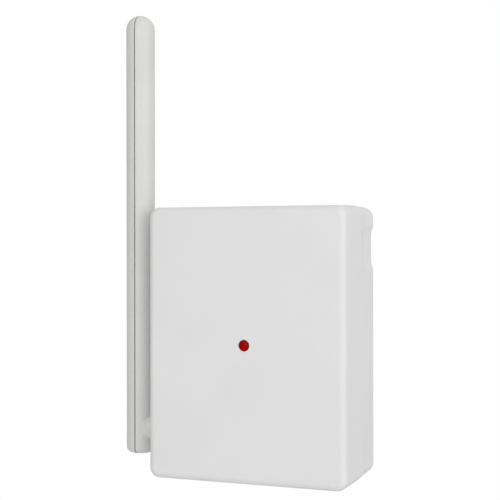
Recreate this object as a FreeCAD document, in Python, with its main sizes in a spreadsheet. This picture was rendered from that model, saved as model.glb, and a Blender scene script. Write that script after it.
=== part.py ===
import FreeCAD, Part
import math
import operator
import os
from types import SimpleNamespace

import Sketcher
from FreeCAD import Placement, Rotation, Vector

# A plug-in lamp control module: a white two-part case that hangs on a wall outlet by its own plug,
# a lamp socket in its underside, a status lens in its face and a round aerial that swings on its left side.
# Frame: +X to the right, +Y towards the wall, +Z up, in millimetres. The origin is midway between the two
# flat blades of the plug, on the case's back plane.

SIZES = {
    "blades_below_top": 26.0,
    "wall": 2.2,
    "back_wall": 2.4,
    "back_cover_depth": 12.9,
    "front_draft": 0.5,
    "rim_step": 0.1,
    "outline_radius": 2.8,
    "front_edge_radius": 2.0,
    "back_edge_radius": 0.8,
    "parting_chamfer": 0.2,
    "seat_gap": 0.1,
    "lap_height": 1.8,
    "lap_thickness": 1.0,
    "lap_gap": 0.15,
    "scoop_height": 12.6,
    "scoop_flat": 6.4,
    "scoop_depth": 0.8,
    "scoop_length": 19.3,
    "scoop_below_top": 11.4,
    "label_width": 34.0,
    "label_height": 17.0,
    "label_depth": 0.3,
    "label_above_bottom": 14.0,
    "past": 1.0,
    "screw_from_wall": 6.1,
    "screw_from_flange": 2.25,
    "screw_below_top": 7.4,
    "screw_above_bottom": 6.6,
    "screw_radius": 1.3,
    "screw_hole_gap": 0.3,
    "thread_gap": 0.05,
    "screw_length": 15.0,
    "screw_head_radius": 2.3,
    "screw_head_height": 1.7,
    "screw_head_depth": 5.0,
    "head_gap": 0.25,
    "screw_post_wall": 1.3,
    "boss_wall": 1.5,
    "blade_spread": 12.7,
    "blade_width": 6.35,
    "blade_thickness": 1.5,
    "blade_reach": 17.5,
    "blade_tip_cut": 1.4,
    "blade_tip_chamfer": 0.35,
    "blade_hole_radius": 1.6,
    "blade_hole_reach": 11.6,
    "blade_shoulder": 2.0,
    "shoulder_depth": 1.5,
    "tail_width": 3.0,
    "ground_drop": 11.9,
    "ground_radius": 2.4,
    "ground_root_step": 0.25,
    "ground_reach": 20.7,
    "ground_collar": 0.8,
    "rivet_radius": 1.2,
    "rivet_height": 1.1,
    "carrier_depth": 5.6,
    "carrier_margin": 4.4,
    "strap_width": 5.0,
    "strap_thickness": 0.6,
    "socket_width": 26.0,
    "slots_in_block": 6.3,
    "block_past_ground": 4.8,
    "flange_back_gap": 0.4,
    "flange_front_gap": 0.3,
    "socket_height": 23.45,
    "socket_face": 2.5,
    "socket_edge_radius": 0.4,
    "flange_margin": 1.2,
    "flange_thickness": 2.0,
    "slot_width": 2.0,
    "line_slot_length": 7.0,
    "neutral_slot_length": 8.4,
    "ground_hole_radius": 2.7,
    "cavity_width": 3.8,
    "cavity_length": 7.0,
    "contact_gap": 1.4,
    "contact_sheet": 0.6,
    "contact_width": 6.0,
    "contact_below_top": 0.3,
    "contact_above_face": 1.0,
    "contact_tail_width": 3.0,
    "contact_tail_reach": 7.0,
    "sleeve_bore": 2.5,
    "retainer_thickness": 1.2,
    "board_thickness": 1.6,
    "board_from_back": 12.5,
    "board_from_wall": 1.8,
    "board_above_strap": 3.0,
    "board_past_varistor": 1.2,
    "board_below_bosses": 0.6,
    "board_screw_from_side": 2.5,
    "board_screw_from_top": 2.6,
    "board_screw_from_bottom": 2.8,
    "board_post_radius": 2.2,
    "board_screw_radius": 1.0,
    "board_screw_length": 7.0,
    "board_head_radius": 1.9,
    "board_head_height": 1.4,
    "radio_thickness": 1.0,
    "radio_behind_wall": 3.1,
    "radio_from_side": 0.8,
    "radio_from_film": 1.5,
    "radio_from_bottom": 3.0,
    "radio_from_top": 3.2,
    "spacer_radius": 1.8,
    "spacer_from_side": 2.5,
    "spacer_from_end": 4.3,
    "header_width": 2.5,
    "header_from_jack": 1.2,
    "header_from_fuse": 5.5,
    "header_from_bottom": 1.55,
    "lens_radius": 1.5,
    "lens_gap": 0.08,
    "lens_dome": 0.3,
    "lens_recess": 0.05,
    "lens_collar": 0.9,
    "lens_collar_depth": 0.6,
    "led_radius": 1.45,
    "led_flange": 0.4,
    "led_height": 2.2,
    "button_x": 12.0,
    "button_radius": 2.8,
    "button_hole_gap": 0.2,
    "button_recess": 0.3,
    "button_collar": 1.0,
    "button_collar_height": 0.9,
    "button_stem_radius": 2.2,
    "button_edge_radius": 0.5,
    "button_travel": 0.5,
    "switch_width": 6.0,
    "switch_depth": 3.6,
    "switch_height": 6.0,
    "plunger_radius": 1.5,
    "plunger_gap": 0.2,
    "plunger_rise": 1.6,
    "plunger_depth": 1.6,
    "pivot_behind_front": 8.8,
    "pivot_above_bottom": 12.95,
    "aerial_from_side": 6.4,
    "aerial_radius": 4.15,
    "aerial_wall": 1.25,
    "aerial_length": 127.4,
    "aerial_below_pivot": 7.5,
    "aerial_foot_radius": 1.8,
    "seam_width": 0.36,
    "seam_depth": 0.9,
    "hub_radius": 3.9,
    "hub_gap": 0.35,
    "shaft_radius": 2.8,
    "running_gap": 0.05,
    "bearing_wall": 1.5,
    "bearing_inside": 1.0,
    "washer_thickness": 0.5,
    "washer_width": 1.1,
    "washer_gap": 0.3,
    "clip_thickness": 0.8,
    "clip_width": 1.85,
    "clip_depth": 0.65,
    "shaft_end": 0.5,
    "lead_bore_radius": 1.0,
    "lead_radius": 0.6,
    "lead_bend_radius": 3.5,
    "lead_in_bore": 3.2,
    "lead_to_bend": 3.4,
    "whip_radius": 0.75,
    "whip_below_pivot": 1.0,
    "whip_below_top": 9.0,
    "rib_thickness": 1.0,
    "rib_spacing": 30.0,
    "rib_start": 25.0,
    "rib_half_width": 2.0,
    "rib_reach": 3.3,
    "jack_width": 3.0,
    "jack_height": 3.0,
    "sink_thickness": 1.6,
    "sink_from_side": 0.2,
    "sink_low": 16.8,
    "sink_high": 10.2,
    "sink_behind_wall": 1.2,
    "fin_height": 2.2,
    "fin_thickness": 1.2,
    "fin_pitch": 3.6,
    "triac_thickness": 2.8,
    "triac_width": 8.0,
    "triac_below_sink": 0.2,
    "triac_lead_length": 2.0,
    "triac_lead_pitch": 2.3,
    "triac_lead_size": 0.7,
    "triac_screw_radius": 1.4,
    "triac_screw_reach": 3.0,
    "film_width": 12.0,
    "film_length": 7.8,
    "film_behind_wall": 2.2,
    "film_from_sink": 3.3,
    "film_from_top": 0.9,
    "choke_from_triac": 1.0,
    "choke_below_film": 2.5,
    "choke_radius": 7.2,
    "choke_bore": 2.8,
    "choke_height": 7.2,
    "wire_layer": 1.0,
    "wire_gap": 0.05,
    "winding_opening": 3.0,
    "fuse_from_sink": 0.3,
    "fuse_below_choke": 0.6,
    "fuse_radius": 2.5,
    "fuse_length": 19.0,
    "fuse_cap_length": 5.0,
    "fuse_cap_step": 0.15,
    "fuse_height": 3.4,
    "clip_sheet": 0.4,
    "varistor_from_fuse": 0.5,
    "varistor_below_fuse": 1.8,
    "varistor_radius": 4.4,
    "varistor_thickness": 3.0,
    "varistor_stand": 0.9,
    "can_from_side": 2.3,
    "can_from_top": 10.0,
    "can_radius": 4.0,
    "can_behind_radio": 0.9,
    "dropper_from_can": 2.5,
    "dropper_from_choke": 3.6,
    "dropper_from_top": 10.2,
    "dropper_length": 5.4,
    "dropper_behind_radio": 1.3,
    "chip_from_side": 10.0,
    "chip_below_dropper": 3.0,
    "chip_length": 9.6,
    "chip_width": 4.0,
    "chip_height": 1.8,
    "chip_pins": 7,
    "pin_pitch": 1.27,
    "pin_width": 0.45,
    "pin_reach": 1.1,
    "pin_height": 0.9,
}

OPERATIONS = {"+": operator.add, "-": operator.sub, "*": operator.mul, "/": operator.truediv}


class Size:
    """A length with the formula on the sheet that it comes from."""

    def __init__(self, value, formula):
        self.value = value
        self.formula = formula

    def __add__(self, other):
        return combined(self, "+", other)

    def __radd__(self, other):
        return combined(other, "+", self)

    def __sub__(self, other):
        return combined(self, "-", other)

    def __rsub__(self, other):
        return combined(other, "-", self)

    def __mul__(self, other):
        return combined(self, "*", other)

    def __rmul__(self, other):
        return combined(other, "*", self)

    def __truediv__(self, other):
        return combined(self, "/", other)

    def __neg__(self):
        return combined(0, "-", self)


def as_size(number):
    return number if isinstance(number, Size) else Size(float(number), f"{float(number)}")


def combined(one, sign, other):
    one, other = as_size(one), as_size(other)
    return Size(OPERATIONS[sign](one.value, other.value), f"({one.formula} {sign} {other.formula})")


def root(size):
    return Size(math.sqrt(size.value), f"sqrt({size.formula})")


def smaller(one, other):
    return Size(min(one.value, other.value), f"min({one.formula}; {other.formula})")


def slope(rise, run):
    """The angle, in degrees, of a face that rises that much over the run."""
    return Size(math.degrees(math.atan2(rise.value, run.value)), f"atan({rise.formula} / {run.formula})")


doc = FreeCAD.newDocument("remote_outlet")
sheet = doc.addObject("Spreadsheet::Sheet", "Sizes")
for row, (word, number) in enumerate(SIZES.items(), 1):
    sheet.set(f"A{row}", word)
    sheet.set(f"B{row}", str(number))
    sheet.setAlias(f"B{row}", word)
doc.recompute()
d = SimpleNamespace(**{word: Size(float(sheet.get(word)), f"Sizes.{word}") for word in SIZES})

# Places that several pieces share. A name with "ahead" is a distance forward of the back plane, so Y is minus it.
# The case is as wide and as deep as its lamp socket needs, and as tall as the socket and the board above it.
ground_root = d.ground_radius + d.ground_root_step
carrier_ahead = d.back_wall + d.carrier_depth
shoulder_ahead = carrier_ahead + d.shoulder_depth
board_ahead = d.board_from_back + d.board_thickness
blade_x = d.blade_spread / 2
socket_back = d.back_wall + d.flange_back_gap + d.flange_margin
slots_ahead = socket_back + d.slots_in_block
ground_slot_ahead = slots_ahead + d.ground_drop
socket_ahead = (socket_back, ground_slot_ahead + d.block_past_ground)
front_inside = socket_ahead[1] + d.flange_margin + d.flange_front_gap
front_ahead = front_inside + d.wall
parting = d.back_cover_depth
post_seat = smaller(parting, d.board_from_back)

socket_half = d.socket_width / 2
flange_seat_half = socket_half + d.flange_margin + 2 * d.seat_gap
head_recess_radius = d.screw_head_radius + d.head_gap
screw_post_radius = head_recess_radius + d.screw_post_wall
screw_x = flange_seat_half + d.screw_from_flange + screw_post_radius
inner_half = screw_x + d.screw_from_wall
half_width = inner_half + d.wall
back_widening = d.front_draft - d.rim_step

case_top = d.blades_below_top
inner_top = case_top - d.wall
screw_high = case_top - d.screw_below_top
boss_radius = d.screw_radius + d.boss_wall
board_high = screw_high - boss_radius - d.board_below_bosses
film_z = board_high - d.film_from_top - d.film_length / 2
choke_z = film_z - d.film_length / 2 - d.choke_below_film - d.choke_radius
fuse_z = choke_z - d.choke_radius - d.fuse_below_choke - d.fuse_radius
varistor_z = fuse_z - d.fuse_radius - d.varistor_below_fuse - d.varistor_thickness / 2
board_low = varistor_z - d.varistor_thickness / 2 - d.board_past_varistor
strap_high = board_low - d.board_above_strap
strap_low = strap_high - d.strap_thickness
retainer_top = strap_low - 2 * d.seat_gap
socket_top = retainer_top - d.retainer_thickness
case_bottom = socket_top - d.socket_height
inner_bottom = case_bottom + d.wall
flange_top = inner_bottom + d.flange_thickness
screw_low = case_bottom + d.screw_above_bottom
screw_places = [(x, z) for x in (-screw_x, screw_x) for z in (screw_low, screw_high)]
lens_z = (case_top + case_bottom) / 2

board_half = inner_half - d.board_from_wall
board_screw_x = board_half - d.board_screw_from_side
board_screw_z = (board_low + d.board_screw_from_bottom, board_high - d.board_screw_from_top)
board_screw_places = [(x, z) for x in (-board_screw_x, board_screw_x) for z in board_screw_z]
sink_face = board_half - d.sink_from_side - d.fin_height - d.sink_thickness
sink_height = front_inside - d.sink_behind_wall - board_ahead
triac_height = sink_height - d.triac_lead_length - d.triac_below_sink
triac_screw_ahead = board_ahead + d.triac_lead_length + triac_height - d.triac_screw_reach
film_x = sink_face - d.film_from_sink - d.film_width / 2
choke_x = sink_face - d.triac_thickness - d.choke_from_triac - d.choke_radius
fuse_x = sink_face - d.fuse_from_sink - d.fuse_length / 2
can_x = -board_half + d.can_from_side + d.can_radius
radio_front = front_inside - d.radio_behind_wall
radio_ahead = radio_front - d.radio_thickness
radio_stand = radio_ahead - board_ahead
radio_left = -board_half + d.radio_from_side
radio_right = film_x - d.film_width / 2 - d.radio_from_film
radio_low = board_low + d.radio_from_bottom
radio_high = board_high - d.radio_from_top
dropper_x = (can_x + d.can_radius + d.dropper_from_can, choke_x - d.choke_radius - d.dropper_from_choke)
dropper_z = radio_high - d.dropper_from_top

pivot_ahead = front_ahead - d.pivot_behind_front
pivot_z = case_bottom + d.pivot_above_bottom
aerial_x = -half_width - d.aerial_from_side
aerial_foot = pivot_z - d.aerial_below_pivot
aerial_top = aerial_foot + d.aerial_length
hub_end = -half_width - d.front_draft - d.hub_gap
bearing_end = -inner_half + d.bearing_inside
washer_end = bearing_end + d.seat_gap + d.washer_thickness
clip_start = washer_end + d.seat_gap
clip_end = clip_start + d.clip_thickness
shaft_tip = clip_end + d.shaft_end
lead_start = shaft_tip - d.lead_in_bore
lead_bend_x = shaft_tip + d.lead_to_bend
lead_rise_x = lead_bend_x + d.lead_bend_radius
button_ahead = radio_ahead - d.switch_depth / 2
button_head_top = case_top - d.button_recess
plunger_top = radio_high + d.plunger_rise

nodes = []


def bind(thing, quality, size):
    thing.setExpression(quality, as_size(size).formula)


def node(thing, name):
    """Gives a finished sub-part its name and puts it on the list that is written out."""
    thing.Label = name
    nodes.append(thing)
    return thing


# Plain solids and the ways they are joined.


def block(name, x, y, z):
    """A box between a low and a high limit on each axis."""
    box = doc.addObject("Part::Box", name)
    for side, axis, (low, high) in zip(("Length", "Width", "Height"), "xyz", (x, y, z)):
        bind(box, side, high - low)
        bind(box, f"Placement.Base.{axis}", low)
    return box


POINTING = {
    "x": Rotation(Vector(0, 1, 0), 90),
    "y": Rotation(Vector(1, 0, 0), -90),
    "z": Rotation(),
}


def rod(name, radius, x, y, z):
    """A round bar along the one axis that has a low and a high limit."""
    bar = doc.addObject("Part::Cylinder", name)
    bind(bar, "Radius", radius)
    for axis, place in zip("xyz", (x, y, z)):
        if isinstance(place, tuple):
            bar.Placement = Placement(Vector(), POINTING[axis])
            bind(bar, "Height", place[1] - place[0])
            place = place[0]
        bind(bar, f"Placement.Base.{axis}", place)
    return bar


def fuse(name, shapes):
    joined = doc.addObject("Part::MultiFuse", name)
    joined.Shapes = shapes
    return joined


def cut(name, base, tools):
    opened = doc.addObject("Part::Cut", name)
    opened.Base = base
    opened.Tool = tools[0] if len(tools) == 1 else fuse(f"{name}_openings", tools)
    return opened


def group(name, shapes):
    """Separate solids that share one node."""
    several = doc.addObject("Part::Compound", name)
    several.Links = shapes
    return several


def ahead(low, high):
    """The Y limits of a stretch that is given as distances forward of the back plane."""
    return (-high, -low)


def around(middle, width):
    return (middle - width / 2, middle + width / 2)


def screw(name, along, places, seat, tip, head, radius, head_radius):
    """A pan-head screw along one axis, with a cross recess: head, seat and tip are places on that axis."""
    others = [axis for axis in "xyz" if axis != along]
    fixed = dict(zip(others, places))
    shank = rod(f"{name}_shank", radius, **fixed, **{along: tuple(sorted((seat, tip), key=value_of))})
    cap = rod(f"{name}_head", head_radius, **fixed, **{along: tuple(sorted((seat, head), key=value_of))})
    floor = head + (seat - head) * 0.55
    recess = []
    for long_axis, short_axis in (others, others[::-1]):
        limits = {
            along: tuple(sorted((floor, head), key=value_of)),
            long_axis: around(fixed[long_axis], head_radius * 1.2),
            short_axis: around(fixed[short_axis], head_radius * 0.3),
        }
        recess.append(block(f"{name}_recess_{long_axis}", **limits))
    return cut(name, fuse(f"{name}_blank", [shank, cap]), recess)


def value_of(size):
    return as_size(size).value


# Bodies made from sketches. A sketch lies on one of three planes: "front" faces forward, with u along X and
# v along Z; "side" faces +X, with u along Y and v along Z; "top" faces up, with u along X and v along Y.

PLANES = {"front": "XZ_Plane", "side": "YZ_Plane", "top": "XY_Plane"}
ORIGIN_POINT = (-1, 1)


def new_body(name):
    return doc.addObject("PartDesign::Body", name)


def centre_of_arc(start, end, radius, turn):
    """The centre of the shorter arc from start to end, which turns left (1) or right (-1)."""
    chord = end - start
    middle = start + chord * 0.5
    height = math.sqrt(max(radius * radius - chord.Length * chord.Length / 4, 0))
    left = Vector(-chord.y, chord.x, 0).normalize()
    return middle + left * (height * turn)


def draw_outline(sketch, points):
    """Joins the points into a closed outline. A point with a radius and a turn is reached by an arc."""
    first = len(sketch.Geometry)
    count = len(points)
    spots = [Vector(value_of(p[0]), value_of(p[1]), 0) for p in points]
    ends = []
    for i in range(count):
        start, end, target = spots[i], spots[(i + 1) % count], points[(i + 1) % count]
        if len(target) == 2:
            sketch.addGeometry(Part.LineSegment(start, end))
            ends.append((1, 2))
            continue
        radius, turn = value_of(target[2]), target[3]
        centre = centre_of_arc(start, end, radius, turn)
        one, other = (start, end) if turn > 0 else (end, start)
        angles = [math.atan2(p.y - centre.y, p.x - centre.x) for p in (one, other)]
        if angles[1] < angles[0]:
            angles[1] += 2 * math.pi
        circle = Part.Circle(centre, Vector(0, 0, 1), radius)
        sketch.addGeometry(Part.ArcOfCircle(circle, *angles))
        ends.append((1, 2) if turn > 0 else (2, 1))
    for i in range(count):
        following = (i + 1) % count
        joint = Sketcher.Constraint("Coincident", first + i, ends[i][1], first + following, ends[following][0])
        sketch.addConstraint(joint)
    for i, (spot, point) in enumerate(zip(spots, points)):
        for kind, place, size in (("DistanceX", spot.x, point[0]), ("DistanceY", spot.y, point[1])):
            rule = sketch.addConstraint(Sketcher.Constraint(kind, *ORIGIN_POINT, first + i, ends[i][0], place))
            bind(sketch, f"Constraints[{rule}]", size)
        if len(point) > 2:
            arc = first + (i - 1) % count
            rule = sketch.addConstraint(Sketcher.Constraint("Radius", arc, value_of(point[2])))
            bind(sketch, f"Constraints[{rule}]", point[2])


def draw_circle(sketch, u, v, radius):
    centre = Vector(value_of(u), value_of(v), 0)
    number = sketch.addGeometry(Part.Circle(centre, Vector(0, 0, 1), value_of(radius)))
    for kind, place, size in (("DistanceX", centre.x, u), ("DistanceY", centre.y, v)):
        rule = sketch.addConstraint(Sketcher.Constraint(kind, *ORIGIN_POINT, number, 3, place))
        bind(sketch, f"Constraints[{rule}]", size)
    rule = sketch.addConstraint(Sketcher.Constraint("Radius", number, value_of(radius)))
    bind(sketch, f"Constraints[{rule}]", radius)


def draw(body, name, plane, at, outlines):
    """A sketch on a plane that is moved to at: (along u, along v, off the plane). A circle is (u, v, radius)."""
    sketch = body.newObject("Sketcher::SketchObject", name)
    support = [f for f in body.Origin.OriginFeatures if f.Role == PLANES[plane]]
    sketch.AttachmentSupport = [(support[0], "")]
    sketch.MapMode = "FlatFace"
    for axis, size in zip("xyz", at):
        bind(sketch, f"AttachmentOffset.Base.{axis}", size)
    for outline in outlines:
        if isinstance(outline, tuple):
            draw_circle(sketch, *outline)
        else:
            draw_outline(sketch, outline)
    return sketch


def extrude(body, kind, name, plane, at, outlines, length):
    """Adds ("Pad") or removes ("Pocket") the sketched outlines along the plane's own direction."""
    feature = body.newObject(f"PartDesign::{kind}", name)
    feature.Profile = draw(body, f"{name}_sketch", plane, at, outlines)
    bind(feature, "Length", length)
    feature.Reversed = kind == "Pocket"
    return feature


def add(body, name, plane, at, outlines, length):
    return extrude(body, "Pad", name, plane, at, outlines, length)


def take(body, name, plane, at, outlines, length):
    return extrude(body, "Pocket", name, plane, at, outlines, length)


def spin(body, name, plane, at, outline, angle=360, reverse=False):
    """Turns a half section about the sketch's own v axis."""
    sketch = draw(body, f"{name}_sketch", plane, at, [outline])
    feature = body.newObject("PartDesign::Revolution", name)
    feature.Profile = sketch
    feature.ReferenceAxis = (sketch, ["V_Axis"])
    feature.Angle = angle
    feature.Reversed = reverse
    return feature


def soften(body, kind, name, size, chosen):
    """Rounds ("Fillet") or bevels ("Chamfer") the edges of the body so far that chosen says."""
    doc.recompute()
    tip = body.Tip
    names = [f"Edge{i}" for i, edge in enumerate(tip.Shape.Edges, 1) if chosen(edge.BoundBox)]
    if not names:
        raise ValueError(f"{body.Name}: no edge was found for {name}")
    feature = body.newObject(f"PartDesign::{kind}", name)
    feature.Base = (tip, names)
    bind(feature, "Radius" if kind == "Fillet" else "Size", size)
    return feature


NEAR = 0.001


def level(axis, size):
    """Chooses the edges that lie in one plane across an axis."""
    place = value_of(size)

    def chosen(box):
        low, high = getattr(box, f"{axis}Min"), getattr(box, f"{axis}Max")
        return abs(low - place) < NEAR and abs(high - place) < NEAR

    return chosen


def rectangle(u, v):
    return [(u[0], v[0]), (u[1], v[0]), (u[1], v[1]), (u[0], v[1])]


def rounded(u, v, radius):
    return [
        (u[0] + radius, v[0], radius, 1),
        (u[1] - radius, v[0]),
        (u[1], v[0] + radius, radius, 1),
        (u[1], v[1] - radius),
        (u[1] - radius, v[1], radius, 1),
        (u[0] + radius, v[1]),
        (u[0], v[1] - radius, radius, 1),
        (u[0], v[0] + radius),
    ]


# The case: a deep front cover and a shallow back cover, held by four screws from the back.


def take_scoops(body):
    """A shallow thumb hollow at the back of each side, flat in its middle, that runs out towards the front."""
    deep, flat = d.scoop_depth, d.scoop_flat / 2
    run = d.scoop_height / 2 - flat
    radius = (run * run + deep * deep) / (2 * deep)
    run_out = d.front_draft * (front_ahead - d.scoop_length) / (front_ahead - parting)
    rise = run_out - back_widening + deep
    lean = slope(rise, d.scoop_length).value
    for side, word in ((-1, "left"), (1, "right")):
        outline = [
            (0, -run - flat),
            (-side * deep, -flat, radius, -side),
            (-side * deep, flat),
            (0, run + flat, radius, -side),
            (side * d.past, run + flat),
            (side * d.past, -run - flat),
        ]
        start = side * (half_width + back_widening - d.past * rise / d.scoop_length)
        at = (start, case_top - d.scoop_below_top, -d.past)
        name = f"{body.Name}_{word}_scoop"
        scoop = take(body, name, "front", at, [outline], front_ahead + 2 * d.past)
        scoop.Profile[0].AttachmentOffset = Placement(Vector(), Rotation(Vector(0, 1, 0), side * lean))


def case_outline(widening):
    """The case's outline at its face, widened all round as its drafted sides are further back."""
    half = half_width + widening
    return rounded((-half, half), (case_bottom - widening, case_top + widening), d.outline_radius + widening)


def make_front_cover():
    body = new_body("front_cover")
    depth = front_ahead - parting
    solid = add(body, "front_block", "front", (0, 0, parting), [case_outline(d.front_draft)], depth)
    bind(solid, "TaperAngle", slope(d.front_draft, depth) * -1)
    edge = smaller(d.front_edge_radius, d.outline_radius * 0.95)
    soften(body, "Fillet", "front_edges", edge, level("Y", -front_ahead))
    soften(body, "Chamfer", "front_parting_edges", d.parting_chamfer, level("Y", -parting))
    hollow = rectangle((-inner_half, inner_half), (inner_bottom, inner_top))
    take(body, "front_hollow", "front", (0, 0, parting), [hollow], front_inside - parting)
    bosses = [(x, z, boss_radius) for x, z in screw_places]
    boss_height = front_inside + d.wall / 2 - post_seat
    add(body, "screw_bosses", "front", (0, 0, post_seat), bosses, boss_height)
    pilots = [(x, z, d.screw_radius + d.thread_gap) for x, z in screw_places]
    pilot_depth = d.screw_head_depth + d.screw_length + d.past - post_seat
    take(body, "pilot_holes", "front", (0, 0, post_seat), pilots, pilot_depth)
    pivot = (-pivot_ahead, pivot_z)
    bearing = [(0, 0, d.shaft_radius + d.running_gap + d.bearing_wall)]
    bearing_length = bearing_end + inner_half + d.wall / 2
    add(body, "bearing", "side", (*pivot, -inner_half - d.wall / 2), bearing, bearing_length)
    bore = [(0, 0, d.shaft_radius + d.running_gap)]
    bore_length = bearing_end + half_width + 2 * d.past
    take(body, "bearing_bore", "side", (*pivot, -half_width - d.past), bore, bore_length)
    lens_hole = [(0, lens_z, d.lens_radius + d.lens_gap)]
    take(body, "lens_hole", "front", (0, 0, front_inside - d.past), lens_hole, d.wall + 2 * d.past)
    button_hole = [(-d.button_x, -button_ahead, d.button_radius + d.button_hole_gap)]
    take(body, "button_hole", "top", (0, 0, inner_top - d.past), button_hole, d.wall + 2 * d.past)
    across = (-socket_half - d.seat_gap, socket_half + d.seat_gap)
    notch = rectangle(across, (-socket_ahead[1] - d.seat_gap, -parting + d.past))
    take(body, "front_notch", "top", (0, 0, case_bottom - d.past), [notch], d.wall + 2 * d.past)
    ledge = rectangle(around(0, d.socket_width), (flange_top + d.seat_gap, flange_top + d.flange_margin))
    ledge_start = socket_ahead[1] + 2 * d.seat_gap
    ledge_depth = front_inside + d.wall / 2 - ledge_start
    add(body, "front_ledge", "front", (0, 0, ledge_start), [ledge], ledge_depth)
    take_scoops(body)
    node(body, "front_cover")


def make_back_cover():
    body = new_body("back_cover")
    add(body, "back_block", "front", (0, 0, 0), [case_outline(back_widening)], parting)
    edge = smaller(d.back_edge_radius, d.outline_radius * 0.95)
    soften(body, "Fillet", "back_edges", edge, level("Y", 0))
    soften(body, "Chamfer", "back_parting_edges", d.parting_chamfer, level("Y", -parting))
    lap_half = inner_half - d.lap_gap
    lap = rectangle((-lap_half, lap_half), (inner_bottom + d.lap_gap, inner_top - d.lap_gap))
    add(body, "lap", "front", (0, 0, parting - d.past), [lap], d.lap_height + d.past)
    hollow_half = lap_half - d.lap_thickness
    hollow_z = (inner_bottom + d.lap_gap + d.lap_thickness, inner_top - d.lap_gap - d.lap_thickness)
    hollow = rectangle((-hollow_half, hollow_half), hollow_z)
    hollow_depth = parting + d.lap_height + d.past - d.back_wall
    take(body, "back_hollow", "front", (0, 0, d.back_wall), [hollow], hollow_depth)
    seat = rectangle((-flange_seat_half, flange_seat_half), (inner_bottom, flange_top + 2 * d.flange_margin))
    seat_start = socket_ahead[0] - d.flange_margin - d.seat_gap
    take(body, "flange_seat", "front", (0, 0, seat_start), [seat], parting + d.lap_height + d.past)
    across = (-socket_half - d.seat_gap, socket_half + d.seat_gap)
    notch = rectangle(across, (-parting - d.lap_height - d.past, -socket_ahead[0] + d.seat_gap))
    take(body, "back_notch", "top", (0, 0, case_bottom - d.past), [notch], d.wall + 2 * d.past)
    posts = [(x, z, screw_post_radius) for x, z in screw_places]
    post_height = post_seat - d.seat_gap - d.back_wall / 2
    add(body, "screw_posts", "front", (0, 0, d.back_wall / 2), posts, post_height)
    holes = [(x, z, d.screw_radius + d.screw_hole_gap) for x, z in screw_places]
    take(body, "screw_holes", "front", (0, 0, -d.past), holes, parting + 2 * d.past)
    recesses = [(x, z, head_recess_radius) for x, z in screw_places]
    take(body, "head_recesses", "front", (0, 0, -d.past), recesses, d.screw_head_depth + d.past)
    rests = [(x, z, d.board_post_radius) for x, z in board_screw_places]
    rest_height = d.board_from_back - d.back_wall / 2
    add(body, "board_posts", "front", (0, 0, d.back_wall / 2), rests, rest_height)
    threads = [(x, z, d.board_screw_radius + d.thread_gap) for x, z in board_screw_places]
    thread_start = d.board_from_back - d.board_screw_length
    take(body, "board_threads", "front", (0, 0, thread_start), threads, d.board_screw_length + d.past)
    slot_u = d.blade_thickness + 2 * d.seat_gap
    slot_v = d.blade_width + 2 * d.seat_gap
    openings = [rectangle(around(x, slot_u), around(0, slot_v)) for x in (-blade_x, blade_x)]
    openings.append((0, -d.ground_drop, ground_root + d.seat_gap))
    take(body, "plug_openings", "front", (0, 0, -d.past), openings, d.back_wall + 2 * d.past)
    label_z = case_bottom + d.label_above_bottom
    label = rounded(around(0, d.label_width), (label_z, label_z + d.label_height), d.outline_radius / 2)
    take(body, "label_recess", "front", (0, 0, -d.past), [label], d.label_depth + d.past)
    take_scoops(body)
    node(body, "back_cover")


def make_case_screws():
    screws = []
    for number, place in enumerate(screw_places):
        seat = -d.screw_head_depth
        tip, head = seat - d.screw_length, seat + d.screw_head_height
        name = f"case_screw_{number}"
        screws.append(screw(name, "y", place, seat, tip, head, d.screw_radius, d.screw_head_radius))
    node(group("case_screws", screws), "case_screws")


# The plug: two flat blades and a round ground pin, held by an insulating carrier behind the back wall.


def make_blade(name, x):
    body = new_body(name)
    half, shoulder, tail = d.blade_width / 2, d.blade_width / 2 + d.blade_shoulder, d.tail_width / 2
    cut_in, behind, end = d.blade_tip_cut, -shoulder_ahead, -board_ahead + d.seat_gap
    outline = [
        (d.blade_reach, -half + cut_in),
        (d.blade_reach, half - cut_in),
        (d.blade_reach - cut_in, half),
        (-carrier_ahead, half),
        (-carrier_ahead, shoulder),
        (behind, shoulder),
        (behind, tail),
        (end, tail),
        (end, -tail),
        (behind, -tail),
        (behind, -shoulder),
        (-carrier_ahead, -shoulder),
        (-carrier_ahead, -half),
        (d.blade_reach - cut_in, -half),
    ]
    hole = (d.blade_hole_reach, 0, d.blade_hole_radius)
    start = x - d.blade_thickness / 2
    add(body, f"{name}_sheet", "side", (0, 0, start), [outline, hole], d.blade_thickness)
    soften(body, "Chamfer", f"{name}_tip", d.blade_tip_chamfer, level("Y", d.blade_reach))
    node(body, name)


def make_ground_pin():
    body = new_body("ground_pin")
    radius, collar = d.ground_radius, d.ground_radius + d.ground_collar
    outline = [
        (0, -shoulder_ahead - d.rivet_height),
        (d.rivet_radius, -shoulder_ahead - d.rivet_height),
        (d.rivet_radius, -shoulder_ahead),
        (collar, -shoulder_ahead),
        (collar, -carrier_ahead),
        (ground_root, -carrier_ahead),
        (ground_root, 0),
        (radius, 0),
        (radius, d.ground_reach - radius),
        (0, d.ground_reach, radius, 1),
    ]
    spin(body, "pin_turning", "top", (0, 0, -d.ground_drop), outline)
    node(body, "ground_pin")


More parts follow.
